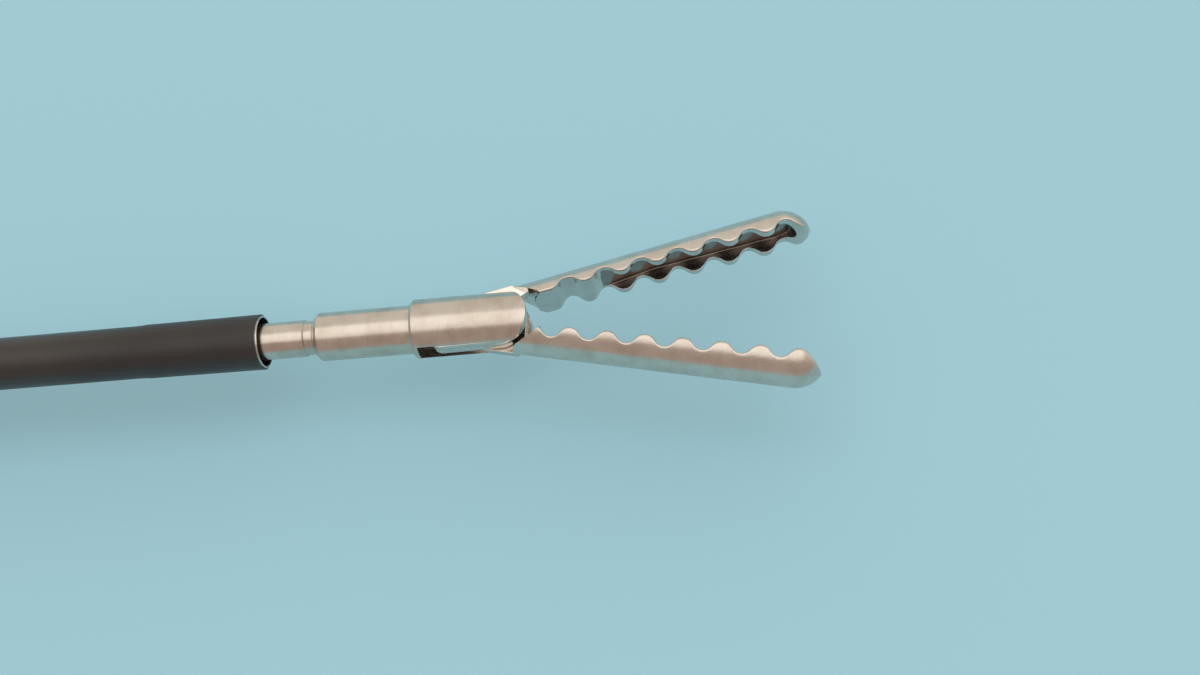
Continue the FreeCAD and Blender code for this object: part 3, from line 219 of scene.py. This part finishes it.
def jaw_section(x, jaw):
    """Half outline of the jaw at a station, as (y, z) from mid-back round to the middle of the bite."""
    mean = bite_root + bite_slope * x
    level = mean + tooth_level(x, jaw)
    nose = max(x - jaw_length + back_radius, 0)
    radius = math.sqrt(max(back_radius ** 2 - nose ** 2, 0))
    level = min(level, radius - 0.001)
    rim_z = math.sqrt(radius ** 2 - level ** 2)
    edge = min(rim_round, 0.45 * rim_z)
    stop = math.asin(level / radius) + edge / radius
    angles = [math.pi / 2 + (stop - math.pi / 2) * k / back_steps for k in range(back_steps + 1)]
    points = [(radius * math.sin(angle), radius * math.cos(angle)) for angle in angles]
    points += bend(points[-1], (level, rim_z), (level, rim_z - edge), rim_steps)
    half = 0.0
    depth = 0.0
    if hollow_start < x < hollow_end:
        past = max(x - hollow_end + hollow_half, 0)
        half = math.sqrt(hollow_half ** 2 - past ** 2)
        ramp = min((x - hollow_start) / hollow_rise, 1)
        depth = max(mean + hollow_entry + (hollow_depth - hollow_entry) * ramp - level, 0)
    lip = min(lip_round, depth / 3, half / 3)
    fillet = min(floor_fillet, depth / 3, half / 3)
    floor_level = level + depth
    points += straight(points[-1], (level, half + lip), land_steps)
    points += bend(points[-1], (level, half), (level + lip, half), land_steps)
    points += straight(points[-1], (floor_level - fillet, half), floor_steps)
    points += bend(points[-1], (floor_level, half), (floor_level, half - fillet), floor_steps)
    points += straight(points[-1], (floor_level, 0.0), floor_steps)
    return points


first_station = 0.96
station_step = 0.075
least_step = 0.004
weld_gap = 0.001


def jaw_stations():
    """Stations along the jaw, closer together where the nose and the end of the hollow turn."""
    nose_start = jaw_length - back_radius
    mill_centre = hollow_end - hollow_half
    turn_steps = 40
    count = int((mill_centre - first_station) / station_step)
    found = [first_station + station_step * k for k in range(count)]
    found += [mill_centre + hollow_half * math.sin(math.pi / 2 * k / turn_steps)
              for k in range(turn_steps + 1)]
    found += [nose_start + back_radius * math.sin(math.pi / 2 * k / turn_steps) for k in range(turn_steps)]
    found.sort()
    return [x for x, before in zip(found, [0.0] + found) if x - before > least_step]


def jaw_bar(mesh, jaw):
    """The working length of a jaw, lofted through its sections, with a slanted shoulder at its rear."""
    rings = []
    for x in jaw_stations():
        half = jaw_section(x, jaw)
        ring = []
        for y, z in half + [(y, -z) for y, z in half[-2:0:-1]]:
            shoulder = shoulder_foot[0] + shoulder_lean * (shoulder_foot[1] - y)
            shoulder += shoulder_slant * max(abs(z) - tang_high, 0)
            ring.append(mesh.verts.new((max(x, shoulder), y, z)))
        rings.append(ring)
    count = len(rings[0])
    for ring, following in zip(rings, rings[1:]):
        for k in range(count):
            after = (k + 1) % count
            face = mesh.faces.new((ring[k], ring[after], following[after], following[k]))
            inward = min(k, count - 1 - k)
            # Faces inside the long hollow take the darker steel, whose tone is painted shade. The rim's
            # bite faces take the polished steel.
            face.material_index = 2 if inward > last_lip else 1 if inward > last_rim else 0
    half_count = count // 2
    # The rear shoulder cap takes the darker steel as painted shade, and the nose cap takes the tumbled
    # steel.
    for ring, cap_material_index in ((rings[0], 2), (rings[-1], 0)):
        closing = [(ring[k], ring[k + 1], ring[count - k - 1], ring[count - k])
                   for k in range(1, half_count - 1)]
        closing += [(ring[0], ring[1], ring[count - 1]),
                    (ring[half_count], ring[half_count - 1], ring[half_count + 1])]
        for corners in closing:
            mesh.faces.new(corners).material_index = cap_material_index


def arc_points(centre, radius, first, last, steps):
    angles = [math.radians(first + (last - first) * k / steps) for k in range(steps + 1)]
    return [(centre[0] + radius * math.cos(angle), centre[1] + radius * math.sin(angle))
            for angle in angles]


def plate(name, outlines, low, high, edge):
    """A flat piece, from its outline and holes in millimetres, with its edges lightly rounded."""
    curve = bpy.data.curves.new(name, "CURVE")
    curve.dimensions = "2D"
    curve.fill_mode = "BOTH"
    for outline in outlines:
        spline = curve.splines.new("POLY")
        spline.points.add(len(outline) - 1)
        for point, (x, y) in zip(spline.points, outline):
            point.co = (x, y, 0, 1)
        spline.use_cyclic_u = True
    curve.extrude = (high - low) / 2 - edge
    curve.bevel_depth = edge
    curve.bevel_resolution = 1
    curve.offset = -edge
    drawn = bpy.data.objects.new(name, curve)
    mesh = bpy.data.meshes.new_from_object(drawn)
    mesh.transform(Matrix.Translation((0, 0, (low + high) / 2)))
    bpy.data.objects.remove(drawn)
    return mesh


tang_low = 0.45
tang_high = 1.24
tang_top = 2.15
tang_crown = 2.4
tang_root = 4.2
crown_front = 1.85
crown_rear = -0.4
back_rear = -3.3
rim_low = -0.42
rim_level = -0.9
rim_front = 0.6
tail_centre = (-4.9, 0.0)
tail_radius = 1.2
hub_radius = tang_top
tail_lean = math.degrees(math.asin((hub_radius - tail_radius) / -tail_centre[0]))
drive_open = 2.8
cam_lead = 4.5
open_turn = math.radians(30)
closed_turn = math.radians(-0.6)
cam_half = 0.43
pivot_hole = 0.62
cam_steps = 12
end_steps = 8
tail_steps = 16
hole_steps = 24
plate_edge = 0.05


def cam_outline():
    """The curved slot in which the drive pin opens the jaw."""
    middle = []
    for k in range(cam_steps + 1):
        turn = closed_turn + (open_turn - closed_turn) * k / cam_steps
        reach = drive_open + cam_lead * (open_turn - turn)
        middle.append((-reach * math.cos(turn), reach * math.sin(turn)))
    heading = math.degrees(math.atan2(middle[1][1] - middle[0][1], middle[1][0] - middle[0][0]))
    leaving = math.degrees(math.atan2(middle[-1][1] - middle[-2][1], middle[-1][0] - middle[-2][0]))
    across = cam_half * math.sin(math.radians(heading))
    aside = cam_half * math.cos(math.radians(heading))
    lower = [(x + across, y - aside) for x, y in middle[1:-1]]
    upper = [(x - across, y + aside) for x, y in middle[-2:0:-1]]
    return (lower + arc_points(middle[-1], cam_half, leaving - 90, leaving + 90, end_steps) + upper
            + arc_points(middle[0], cam_half, heading + 90, heading + 270, end_steps))


def tang_outline():
    """Round tail, hub and root; its back stands a little proud of the fork just behind the jaw."""
    return (arc_points(tail_centre, tail_radius, 110, 270 - tail_lean, tail_steps)
            + arc_points((0, 0), hub_radius, -90 - tail_lean, -20, tail_steps)
            + [(2.35, bite_root + 0.13), (tang_root, bite_root + 0.68), (tang_root, tang_top),
               (crown_front + 0.2, tang_top), (crown_front, tang_crown), (crown_rear, tang_crown),
               (back_rear, tang_top)])


def lower_rim(jaw):
    """The tang's lower edge, thickened towards the middle of the fork's slot behind the pivot."""
    outlines = [tang_outline(), cam_outline()]
    whole = plate(jaw + "_rim", outlines, rim_low, tang_low + 2 * plate_edge, plate_edge)
    rim = bmesh.new()
    rim.from_mesh(whole)
    bmesh.ops.remove_doubles(rim, verts=rim.verts, dist=weld_gap)
    for corner, away in (((0, rim_level, 0), (0, 1, 0)), ((rim_front, 0, 0), (1, 0, 0))):
        bmesh.ops.bisect_plane(rim, geom=rim.verts[:] + rim.edges[:] + rim.faces[:], plane_co=corner,
                               plane_no=away, clear_outer=True)
        bmesh.ops.holes_fill(rim, edges=[edge for edge in rim.edges if edge.is_boundary], sides=0)
    rim.to_mesh(whole)
    rim.free()
    return whole


crease_angle = math.radians(35)


def object_of(name, mesh, body, replaced):
    """Link a finished mesh as a piece that rides on a body and stands for its CAD nodes."""
    mesh.set_sharp_from_angle(angle=crease_angle)
    piece = bpy.data.objects.new(name, mesh)
    bpy.context.scene.collection.objects.link(piece)
    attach(piece, body)
    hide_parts(*replaced)
    return piece


def smooth(mesh):
    for face in mesh.polygons:
        face.use_smooth = True


tumbled_steel = steel("tumbled_jaw_steel", "#D3CCC2", "#C6BBAE", 0.27, 0.05, 0.12, (0.25, 1, 1), 0.06)
polished_steel = steel("polished_bite_steel", "#CFCBC5", "#C2BCB4", 0.12, 0.03, 0.15, (1, 1, 1), 0.03)
# A darker copy of the steel for the long hollow and the rear shoulder facet: its dark tone is painted
# shade, and its roughness is the milled finish.
painted_shade_milled_steel = steel("milled_steel_with_painted_shade", "#8E857D", "#776E67", 0.2, 0.04, 0.15, (1, 1, 1), 0.05)
# The tang's flat sides and lower rim: a lighter copy of the steel. Its pale tone is a painted highlight for
# the lamp mirrored in the flat faces, and its low roughness is the ground polish.
lit_tang_steel = steel("ground_tang_steel_painted_highlight", "#E2DED8", "#D8D2CA", 0.1, 0.03, 0.15, (1, 0.3, 1), 0.02)
for jaw, side in (("jaw_upper", 1), ("jaw_lower", -1)):
    bar = bmesh.new()
    jaw_bar(bar, jaw)
    bmesh.ops.remove_doubles(bar, verts=bar.verts, dist=1.5 * weld_gap)
    bmesh.ops.dissolve_degenerate(bar, dist=weld_gap / 2, edges=bar.edges)
    bmesh.ops.recalc_face_normals(bar, faces=bar.faces)
    hole = arc_points((0, 0), pivot_hole, 0, 360 - 360 / hole_steps, hole_steps - 1)
    tang = plate(jaw + "_tang", [tang_outline(), cam_outline(), hole], tang_low, tang_high, plate_edge)
    rim = lower_rim(jaw)
    bare_faces = len(bar.faces)
    bar.from_mesh(tang)
    bar.from_mesh(rim)
    bar.faces.ensure_lookup_table()
    # Tang and rim faces take the lighter steel, whose pale tone is a painted highlight.
    for face in bar.faces[bare_faces:]:
        face.material_index = 3
    jaw_mesh = bpy.data.meshes.new(jaw + "_bar")
    bar.to_mesh(jaw_mesh)
    bar.free()
    bpy.data.meshes.remove(tang)
    bpy.data.meshes.remove(rim)
    for material in (tumbled_steel, polished_steel, painted_shade_milled_steel, lit_tang_steel):
        jaw_mesh.materials.append(material)
    roll = Matrix.Rotation(0 if side > 0 else math.pi, 4, "X")
    jaw_mesh.transform(Matrix.Translation(pivot) @ Matrix.Rotation(side * jaw_angle, 4, "Z") @ roll
                       @ Matrix.Scale(MM, 4))
    smooth(jaw_mesh)
    object_of(jaw + "_forged", jaw_mesh, jaw, [jaw])

# Pins of the jaws and the rod's ball: hard steel, ground to size, so they are smooth and bright. The
# pivot pin is pressed into the fork's ears, and the drive pin into the flat end of the rod.
ground_steel = steel("ground_pin_steel", "#C9C6C1", "#BDB8B0", 0.2, 0.04, 0.08, (1, 1, 1), 0.04)
for node in ("jaw_pivot_pin", "drive_pin", "rod_ball"):
    finish_node(node, ground_steel)

# Pull rod: drawn stainless wire with a flat front end that carries the drive pin. It runs the whole
# length of the insert, and its drawing left a fine lay along it.
drawn_steel = steel("drawn_tube_steel", "#CCC8C2", "#BFB9B0", 0.24, 0.04, 0.10, (0.1, 1, 1), 0.05)
finish_node("pull_rod", drawn_steel)

# Outer tube: drawn stainless tube with a wider socket at its tip and a grooved latch collar at its
# rear, both welded on. It slides over the insert and is drawn back here, as it is to be taken apart.
for node in ("shaft_tube", "shaft_socket", "latch_collar"):
    finish_node(node, drawn_steel)

# Insulating sleeve: black fluoropolymer, shrunk over the tube with heat. It is smooth and a little
# glossy, with faint scuffs from the trocar.

cloud_mm = 14.0


def moulded(name, tone, wear, roughness, grain_mm, bump, edge_mm):
    """Polymer: a tone with rubbed clouds, a grain from its mould, and edges worn smooth and pale."""
    material, tree = new_material(name)
    place = add(tree, "ShaderNodeTexCoord").outputs["Object"]
    grain = add(tree, "ShaderNodeTexNoise", None,
                {"Vector": place, "Scale": 1 / (grain_mm * MM), "Detail": 4.0})
    clouds = add(tree, "ShaderNodeTexNoise", None,
                 {"Vector": place, "Scale": 1 / (cloud_mm * MM), "Detail": 5.0})
    rubbed = add(tree, "ShaderNodeMapRange", None,
                 {"Value": clouds.outputs["Fac"], "From Min": 0.45, "From Max": 0.75})
    rounded = add(tree, "ShaderNodeBevel", {"samples": 4}, {"Radius": edge_mm * MM})
    flat = add(tree, "ShaderNodeNewGeometry")
    facing = add(tree, "ShaderNodeVectorMath", {"operation": "DOT_PRODUCT"},
                 {0: rounded.outputs["Normal"], 1: flat.outputs["Normal"]})
    edge = add(tree, "ShaderNodeMapRange", None,
               {"Value": facing.outputs["Value"], "From Min": 0.97, "From Max": 0.8})
    worn = add(tree, "ShaderNodeMath", {"operation": "MAXIMUM"},
               {0: rubbed.outputs["Result"], 1: edge.outputs["Result"]})
    colour = add(tree, "ShaderNodeMix", {"data_type": "RGBA"},
                 {"Factor": worn.outputs["Value"], 6: linear(tone), 7: linear(wear)})
    gloss = add(tree, "ShaderNodeMapRange", None,
                {"Value": worn.outputs["Value"], "To Min": roughness + 0.05, "To Max": roughness - 0.1})
    relief = add(tree, "ShaderNodeBump", None,
                 {"Height": grain.outputs["Fac"], "Strength": bump, "Distance": grain_mm * MM / 4})
    shader = add(tree, "ShaderNodeBsdfPrincipled", None,
                 {"Base Color": colour.outputs[2], "Roughness": gloss.outputs["Result"], "IOR": 1.49,
                  "Normal": relief.outputs["Normal"]})
    add(tree, "ShaderNodeOutputMaterial", None, {"Surface": shader.outputs["BSDF"]})
    return material


sleeve_polymer = moulded("shrunk_fluoropolymer", "#2C2826", "#3A3532", 0.40, 0.25, 0.15, 0.12)
finish_node("shaft_insulation", sleeve_polymer)

# Rotation knob: blue glass-filled plastic, moulded round a steel core, with a matt grain and flutes for
# the fingertip. The steel core carries it in the handle, and a rubber ring seals the tube's rear end.
knob_plastic = moulded("moulded_knob_plastic", "#35566C", "#4A6E86", 0.42, 0.3, 0.25, 0.5)
finish_node("rotation_knob", knob_plastic)
finish_node("knob_core", drawn_steel)
seal_rubber = moulded("silicone_rubber", "#1F2022", "#2E2F31", 0.6, 0.2, 0.2, 0.3)
finish_node("shaft_seal", seal_rubber)
finish_node("tube_lock", ground_steel)

# Handle: two shells of black glass-filled plastic that meet along the middle. Spark erosion of the
# mould left a fine matt grain, and the edges have been handled smooth.
handle_plastic = moulded("glass_filled_plastic", "#232629", "#34383C", 0.5, 0.35, 0.35, 0.7)
for node in ("handle_shell_upper", "handle_shell_lower"):
    finish_node(node, handle_plastic)

# Lever with its ratchet: the lever is moulded like the shells. The rack and the catch are stamped
# from steel sheet, and steel pins hold them.
finish_node("thumb_lever", handle_plastic)
for node in ("ratchet_rack", "ratchet_catch"):
    finish_node(node, drawn_steel)
for node in ("rack_pin", "catch_pin"):
    finish_node(node, ground_steel)

# Catch spring: hard spring wire, wound in close turns round the catch's pin. It drives the hook into
# the rack's teeth, and is drawn as one coil that a node tree sets on the pin.


def shape_tree(name, sizes):
    """A node tree that makes a shape, with its ends and one named input for each size."""
    tree = bpy.data.node_groups.new(name, "GeometryNodeTree")
    tree.interface.new_socket("Geometry", in_out="INPUT", socket_type="NodeSocketGeometry")
    for size, kind in sizes:
        tree.interface.new_socket(size, in_out="INPUT", socket_type="NodeSocket" + kind)
    tree.interface.new_socket("Geometry", in_out="OUTPUT", socket_type="NodeSocketGeometry")
    return tree, add(tree, "NodeGroupInput").outputs


def close_tree(tree, geometry, material):
    """End a tree with real geometry in its material, because instances don't outlast it."""
    real = add(tree, "GeometryNodeRealizeInstances", None, {"Geometry": geometry})
    coated = add(tree, "GeometryNodeSetMaterial", None,
                 {"Geometry": real.outputs["Geometry"], "Material": material})
    add(tree, "NodeGroupOutput", None, {"Geometry": coated.outputs["Geometry"]})


def shaped(name, points, tree, values):
    """The plain mesh that a tree makes on some points, with its inputs set to these values."""
    mesh = bpy.data.meshes.new(name + "_points")
    mesh.from_pydata(points, [], [])
    carrier = bpy.data.objects.new(name + "_points", mesh)
    bpy.context.scene.collection.objects.link(carrier)
    modifier = carrier.modifiers.new(tree.name, "NODES")
    modifier.node_group = tree
    for item in tree.interface.items_tree:
        if item.in_out == "INPUT" and item.name in values:
            modifier[item.identifier] = values[item.name]
    graph = bpy.context.evaluated_depsgraph_get()
    result = bpy.data.meshes.new_from_object(carrier.evaluated_get(graph), depsgraph=graph)
    carrier.modifiers.clear()
    bpy.data.objects.remove(carrier)
    bpy.data.meshes.remove(mesh)
    result.name = name
    smooth(result)
    return result


def middle_of(node):
    low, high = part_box(node)
    return (low + high) / 2


spring_tree, spring_sizes = shape_tree("wound_spring", [
    ("Turns", "Float"), ("Coil Radius", "Float"), ("Height", "Float"), ("Wire Radius", "Float"),
    ("Finish", "Material")])
spring_path = add(spring_tree, "GeometryNodeCurveSpiral", None,
                  {"Resolution": 32, "Rotations": spring_sizes["Turns"],
                   "Start Radius": spring_sizes["Coil Radius"],
                   "End Radius": spring_sizes["Coil Radius"], "Height": spring_sizes["Height"]})
spring_wire = add(spring_tree, "GeometryNodeCurvePrimitiveCircle", {"mode": "RADIUS"},
                  {"Resolution": 10, "Radius": spring_sizes["Wire Radius"]})
spring_coil = add(spring_tree, "GeometryNodeCurveToMesh", None,
                  {"Curve": spring_path.outputs["Curve"], "Profile Curve": spring_wire.outputs["Curve"],
                   "Fill Caps": True})
spring_set = add(spring_tree, "GeometryNodeInstanceOnPoints", None,
                 {"Points": spring_sizes["Geometry"], "Instance": spring_coil.outputs["Mesh"]})
close_tree(spring_tree, spring_set.outputs["Instances"], spring_sizes["Finish"])
spring_steel = steel("tempered_spring_steel", "#B9B4AC", "#A79F94", 0.26, 0.05, 0.10, (1, 1, 1), 0.05)
seat_low, seat_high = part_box("catch_spring")
wire_radius = 0.17 * MM
spring_turns = 4.0
spring_foot = Vector((middle_of("catch_spring").x, middle_of("catch_spring").y, seat_low.z + wire_radius))
spring_mesh = shaped("catch_spring_wire", [spring_foot], spring_tree, {
    "Turns": spring_turns, "Coil Radius": (seat_high.x - seat_low.x) / 2 - wire_radius,
    "Height": seat_high.z - seat_low.z - 2 * wire_radius, "Wire Radius": wire_radius,
    "Finish": spring_steel})
object_of("catch_spring_wound", spring_mesh, "root", ["catch_spring"])

# Current connector: nickel-free brass, bright where the cable's socket rubs, in a moulded collar that
# insulates it. A brass contact under it rubs on the steel core.
contact_brass = steel("contact_brass", "#D9B876", "#C7A35F", 0.22, 0.05, 0.1, (1, 0.2, 1), 0.05)
for node in ("hf_connector", "hf_contact"):
    finish_node(node, contact_brass)
finish_node("hf_collar", knob_plastic)

# Flushing port: a turned steel spigot, through which the inside is rinsed after use. A cap of soft
# black silicone rubber is pushed over it.
finish_node("flush_port", turned_steel)
finish_node("flush_cap", seal_rubber)

# Screws: four shell screws and the lever's pivot screw, with its nut below. They are hard steel with a
# hexagon socket, turned down after the two shells are closed, and their heads lie flush in the plastic.
screw_tree, screw_sizes = shape_tree("socket_screws", [
    ("Head Radius", "Float"), ("Head Height", "Float"), ("Chamfer", "Float"), ("Socket Radius", "Float"),
    ("Socket Depth", "Float"), ("Shank Radius", "Float"), ("Length", "Float"), ("Finish", "Material")])


def measure(tree, operation, first, second):
    return add(tree, "ShaderNodeMath", {"operation": operation}, {0: first, 1: second}).outputs["Value"]


def raised(tree, mesh, height):
    """A shape moved along Z."""
    lift = add(tree, "ShaderNodeCombineXYZ", None, {"Z": height})
    return add(tree, "GeometryNodeTransform", None,
               {"Geometry": mesh, "Translation": lift.outputs["Vector"]}).outputs["Geometry"]


def round_bar(tree, sides, radius, top, foot):
    """An upright cylinder or prism between two heights."""
    height = measure(tree, "SUBTRACT", top, foot)
    bar = add(tree, "GeometryNodeMeshCylinder", None,
              {"Vertices": sides, "Radius": radius, "Depth": height})
    middle = measure(tree, "MULTIPLY", measure(tree, "ADD", top, foot), 0.5)
    return raised(tree, bar.outputs["Mesh"], middle)


screw_chamfer = screw_sizes["Chamfer"]
screw_face = measure(screw_tree, "SUBTRACT", screw_sizes["Head Radius"], screw_chamfer)
edge_level = measure(screw_tree, "MULTIPLY", screw_chamfer, -1.0)
seat_level = measure(screw_tree, "MULTIPLY", screw_sizes["Head Height"], -1.0)
point_level = measure(screw_tree, "MULTIPLY", screw_sizes["Length"], -1.0)
slant = add(screw_tree, "GeometryNodeMeshCone", None,
            {"Vertices": 48, "Radius Top": screw_face, "Radius Bottom": screw_sizes["Head Radius"],
             "Depth": screw_chamfer})
screw_blank = add(screw_tree, "GeometryNodeMeshBoolean", {"operation": "UNION"})
for part in (raised(screw_tree, slant.outputs["Mesh"], edge_level),
             round_bar(screw_tree, 48, screw_sizes["Head Radius"], edge_level, seat_level),
             round_bar(screw_tree, 32, screw_sizes["Shank Radius"], seat_level, point_level)):
    screw_tree.links.new(part, screw_blank.inputs["Mesh 2"])
socket_level = measure(screw_tree, "MULTIPLY", screw_sizes["Socket Depth"], -1.0)
socket_bar = round_bar(screw_tree, 6, screw_sizes["Socket Radius"], screw_sizes["Socket Depth"],
                       socket_level)
screw_whole = add(screw_tree, "GeometryNodeMeshBoolean", {"operation": "DIFFERENCE"},
                  {"Mesh 1": screw_blank.outputs["Mesh"], "Mesh 2": socket_bar})
screw_set = add(screw_tree, "GeometryNodeInstanceOnPoints", None,
                {"Points": screw_sizes["Geometry"], "Instance": screw_whole.outputs["Mesh"]})
close_tree(screw_tree, screw_set.outputs["Instances"], screw_sizes["Finish"])


def solids_of(node):
    """The corners of each separate solid of a node."""
    whole = bmesh.new()
    whole.from_mesh(nodes[node].data)
    bmesh.ops.remove_doubles(whole, verts=whole.verts, dist=weld_gap * MM)
    left = set(whole.verts)
    found = []
    while left:
        near = [left.pop()]
        points = []
        while near:
            vertex = near.pop()
            points.append(vertex.co.copy())
            beside = {edge.other_vert(vertex) for edge in vertex.link_edges} & left
            left -= beside
            near += beside
        found.append((Vector([min(point[i] for point in points) for i in range(3)]),
                      Vector([max(point[i] for point in points) for i in range(3)])))
    whole.free()
    return sorted(found, key=lambda corners: corners[0].x)


shell_corners = solids_of("shell_screws")
screw_length = min(high.z - low.z for low, high in shell_corners)
screw_tops = [Vector(((low.x + high.x) / 2, (low.y + high.y) / 2, high.z)) for low, high in shell_corners]
screw_low, screw_high = shell_corners[0]
screw_mesh = shaped("shell_screw_set", screw_tops, screw_tree, {
    "Head Radius": (screw_high.x - screw_low.x) / 2, "Head Height": 1.6 * MM,
    "Chamfer": 0.25 * MM, "Socket Radius": 1.15 * MM, "Socket Depth": 1.0 * MM, "Shank Radius": 1.2 * MM,
    "Length": screw_length, "Finish": ground_steel})
object_of("shell_screws_socketed", screw_mesh, "root", ["shell_screws"])

bolt_low, bolt_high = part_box("lever_pivot_screw")
bolt_top = Vector(((bolt_low.x + bolt_high.x) / 2, (bolt_low.y + bolt_high.y) / 2, bolt_high.z))
bolt_mesh = shaped("lever_bolt", [bolt_top], screw_tree, {
    "Head Radius": (bolt_high.x - bolt_low.x) / 2, "Head Height": 2.2 * MM, "Chamfer": 0.4 * MM,
    "Socket Radius": 2.0 * MM, "Socket Depth": 1.5 * MM, "Shank Radius": 2.0 * MM,
    "Length": bolt_high.z - bolt_low.z, "Finish": ground_steel})
object_of("lever_pivot_bolt", bolt_mesh, "root", ["lever_pivot_screw"])
finish_node("lever_pivot_nut", ground_steel)

# Floor and light: a plain pale blue floor under the instrument, a broad lamp overhead and a soft warm
# room, which the steel shows as tan above and as the floor's blue below.
floor_half = 2.0
floor_mesh = bpy.data.meshes.new("floor")
floor_corners = [(side_x * floor_half, side_y * floor_half, 0)
                 for side_x, side_y in ((-1, -1), (1, -1), (1, 1), (-1, 1))]
floor_mesh.from_pydata(floor_corners, [], [(0, 1, 2, 3)])
floor = bpy.data.objects.new("floor", floor_mesh)
bpy.context.scene.collection.objects.link(floor)
floor.location = (0.15, 0, cad_box[0][2])
floor_paint, floor_tree = new_material("floor_paint")
floor_shader = add(floor_tree, "ShaderNodeBsdfDiffuse", None, {"Color": linear("#A9DBEE")})
add(floor_tree, "ShaderNodeOutputMaterial", None, {"Surface": floor_shader.outputs["BSDF"]})
floor_mesh.materials.append(floor_paint)

world = bpy.data.worlds.new("room")
bpy.context.scene.world = world
world.use_nodes = True
room = world.node_tree
room.nodes.clear()
direction = add(room, "ShaderNodeTexCoord").outputs["Generated"]
parts = add(room, "ShaderNodeSeparateXYZ", None, {"Vector": direction})
side = add(room, "ShaderNodeMapRange", {"interpolation_type": "SMOOTHSTEP"},
           {"Value": parts.outputs["Y"], "From Min": -0.7, "From Max": 0.05})
wall = add(room, "ShaderNodeMix", {"data_type": "RGBA"},
           {"Factor": side.outputs["Result"], 6: linear("#B9A79D"), 7: linear("#EDE6DC")})
sky = add(room, "ShaderNodeBackground", None, {"Color": wall.outputs[2], "Strength": 1.0})
add(room, "ShaderNodeOutputWorld", None, {"Surface": sky.outputs["Background"]})


def softbox(name, centre, target, width, depth, radiance):
    """A flat lamp facing a point, as bright as the radiance that a mirror would show."""
    data = bpy.data.lights.new(name, "AREA")
    data.shape = "RECTANGLE"
    data.size = width
    data.size_y = depth
    data.energy = radiance * math.pi * width * depth
    lamp = bpy.data.objects.new(name, data)
    bpy.context.scene.collection.objects.link(lamp)
    lamp.location = centre
    lamp.rotation_euler = (Vector(target) - Vector(centre)).to_track_quat("-Z", "Y").to_euler()


lamp_centre = (0.25, -0.04, 0.9)
lamp_target = (0.25, -0.04, 0.0)
lamp_width = 1.1
lamp_depth = 0.92
lamp_radiance = 0.6
softbox("overhead_lamp", lamp_centre, lamp_target, lamp_width, lamp_depth, lamp_radiance)

scene = bpy.context.scene
scene.view_settings.view_transform = "Standard"
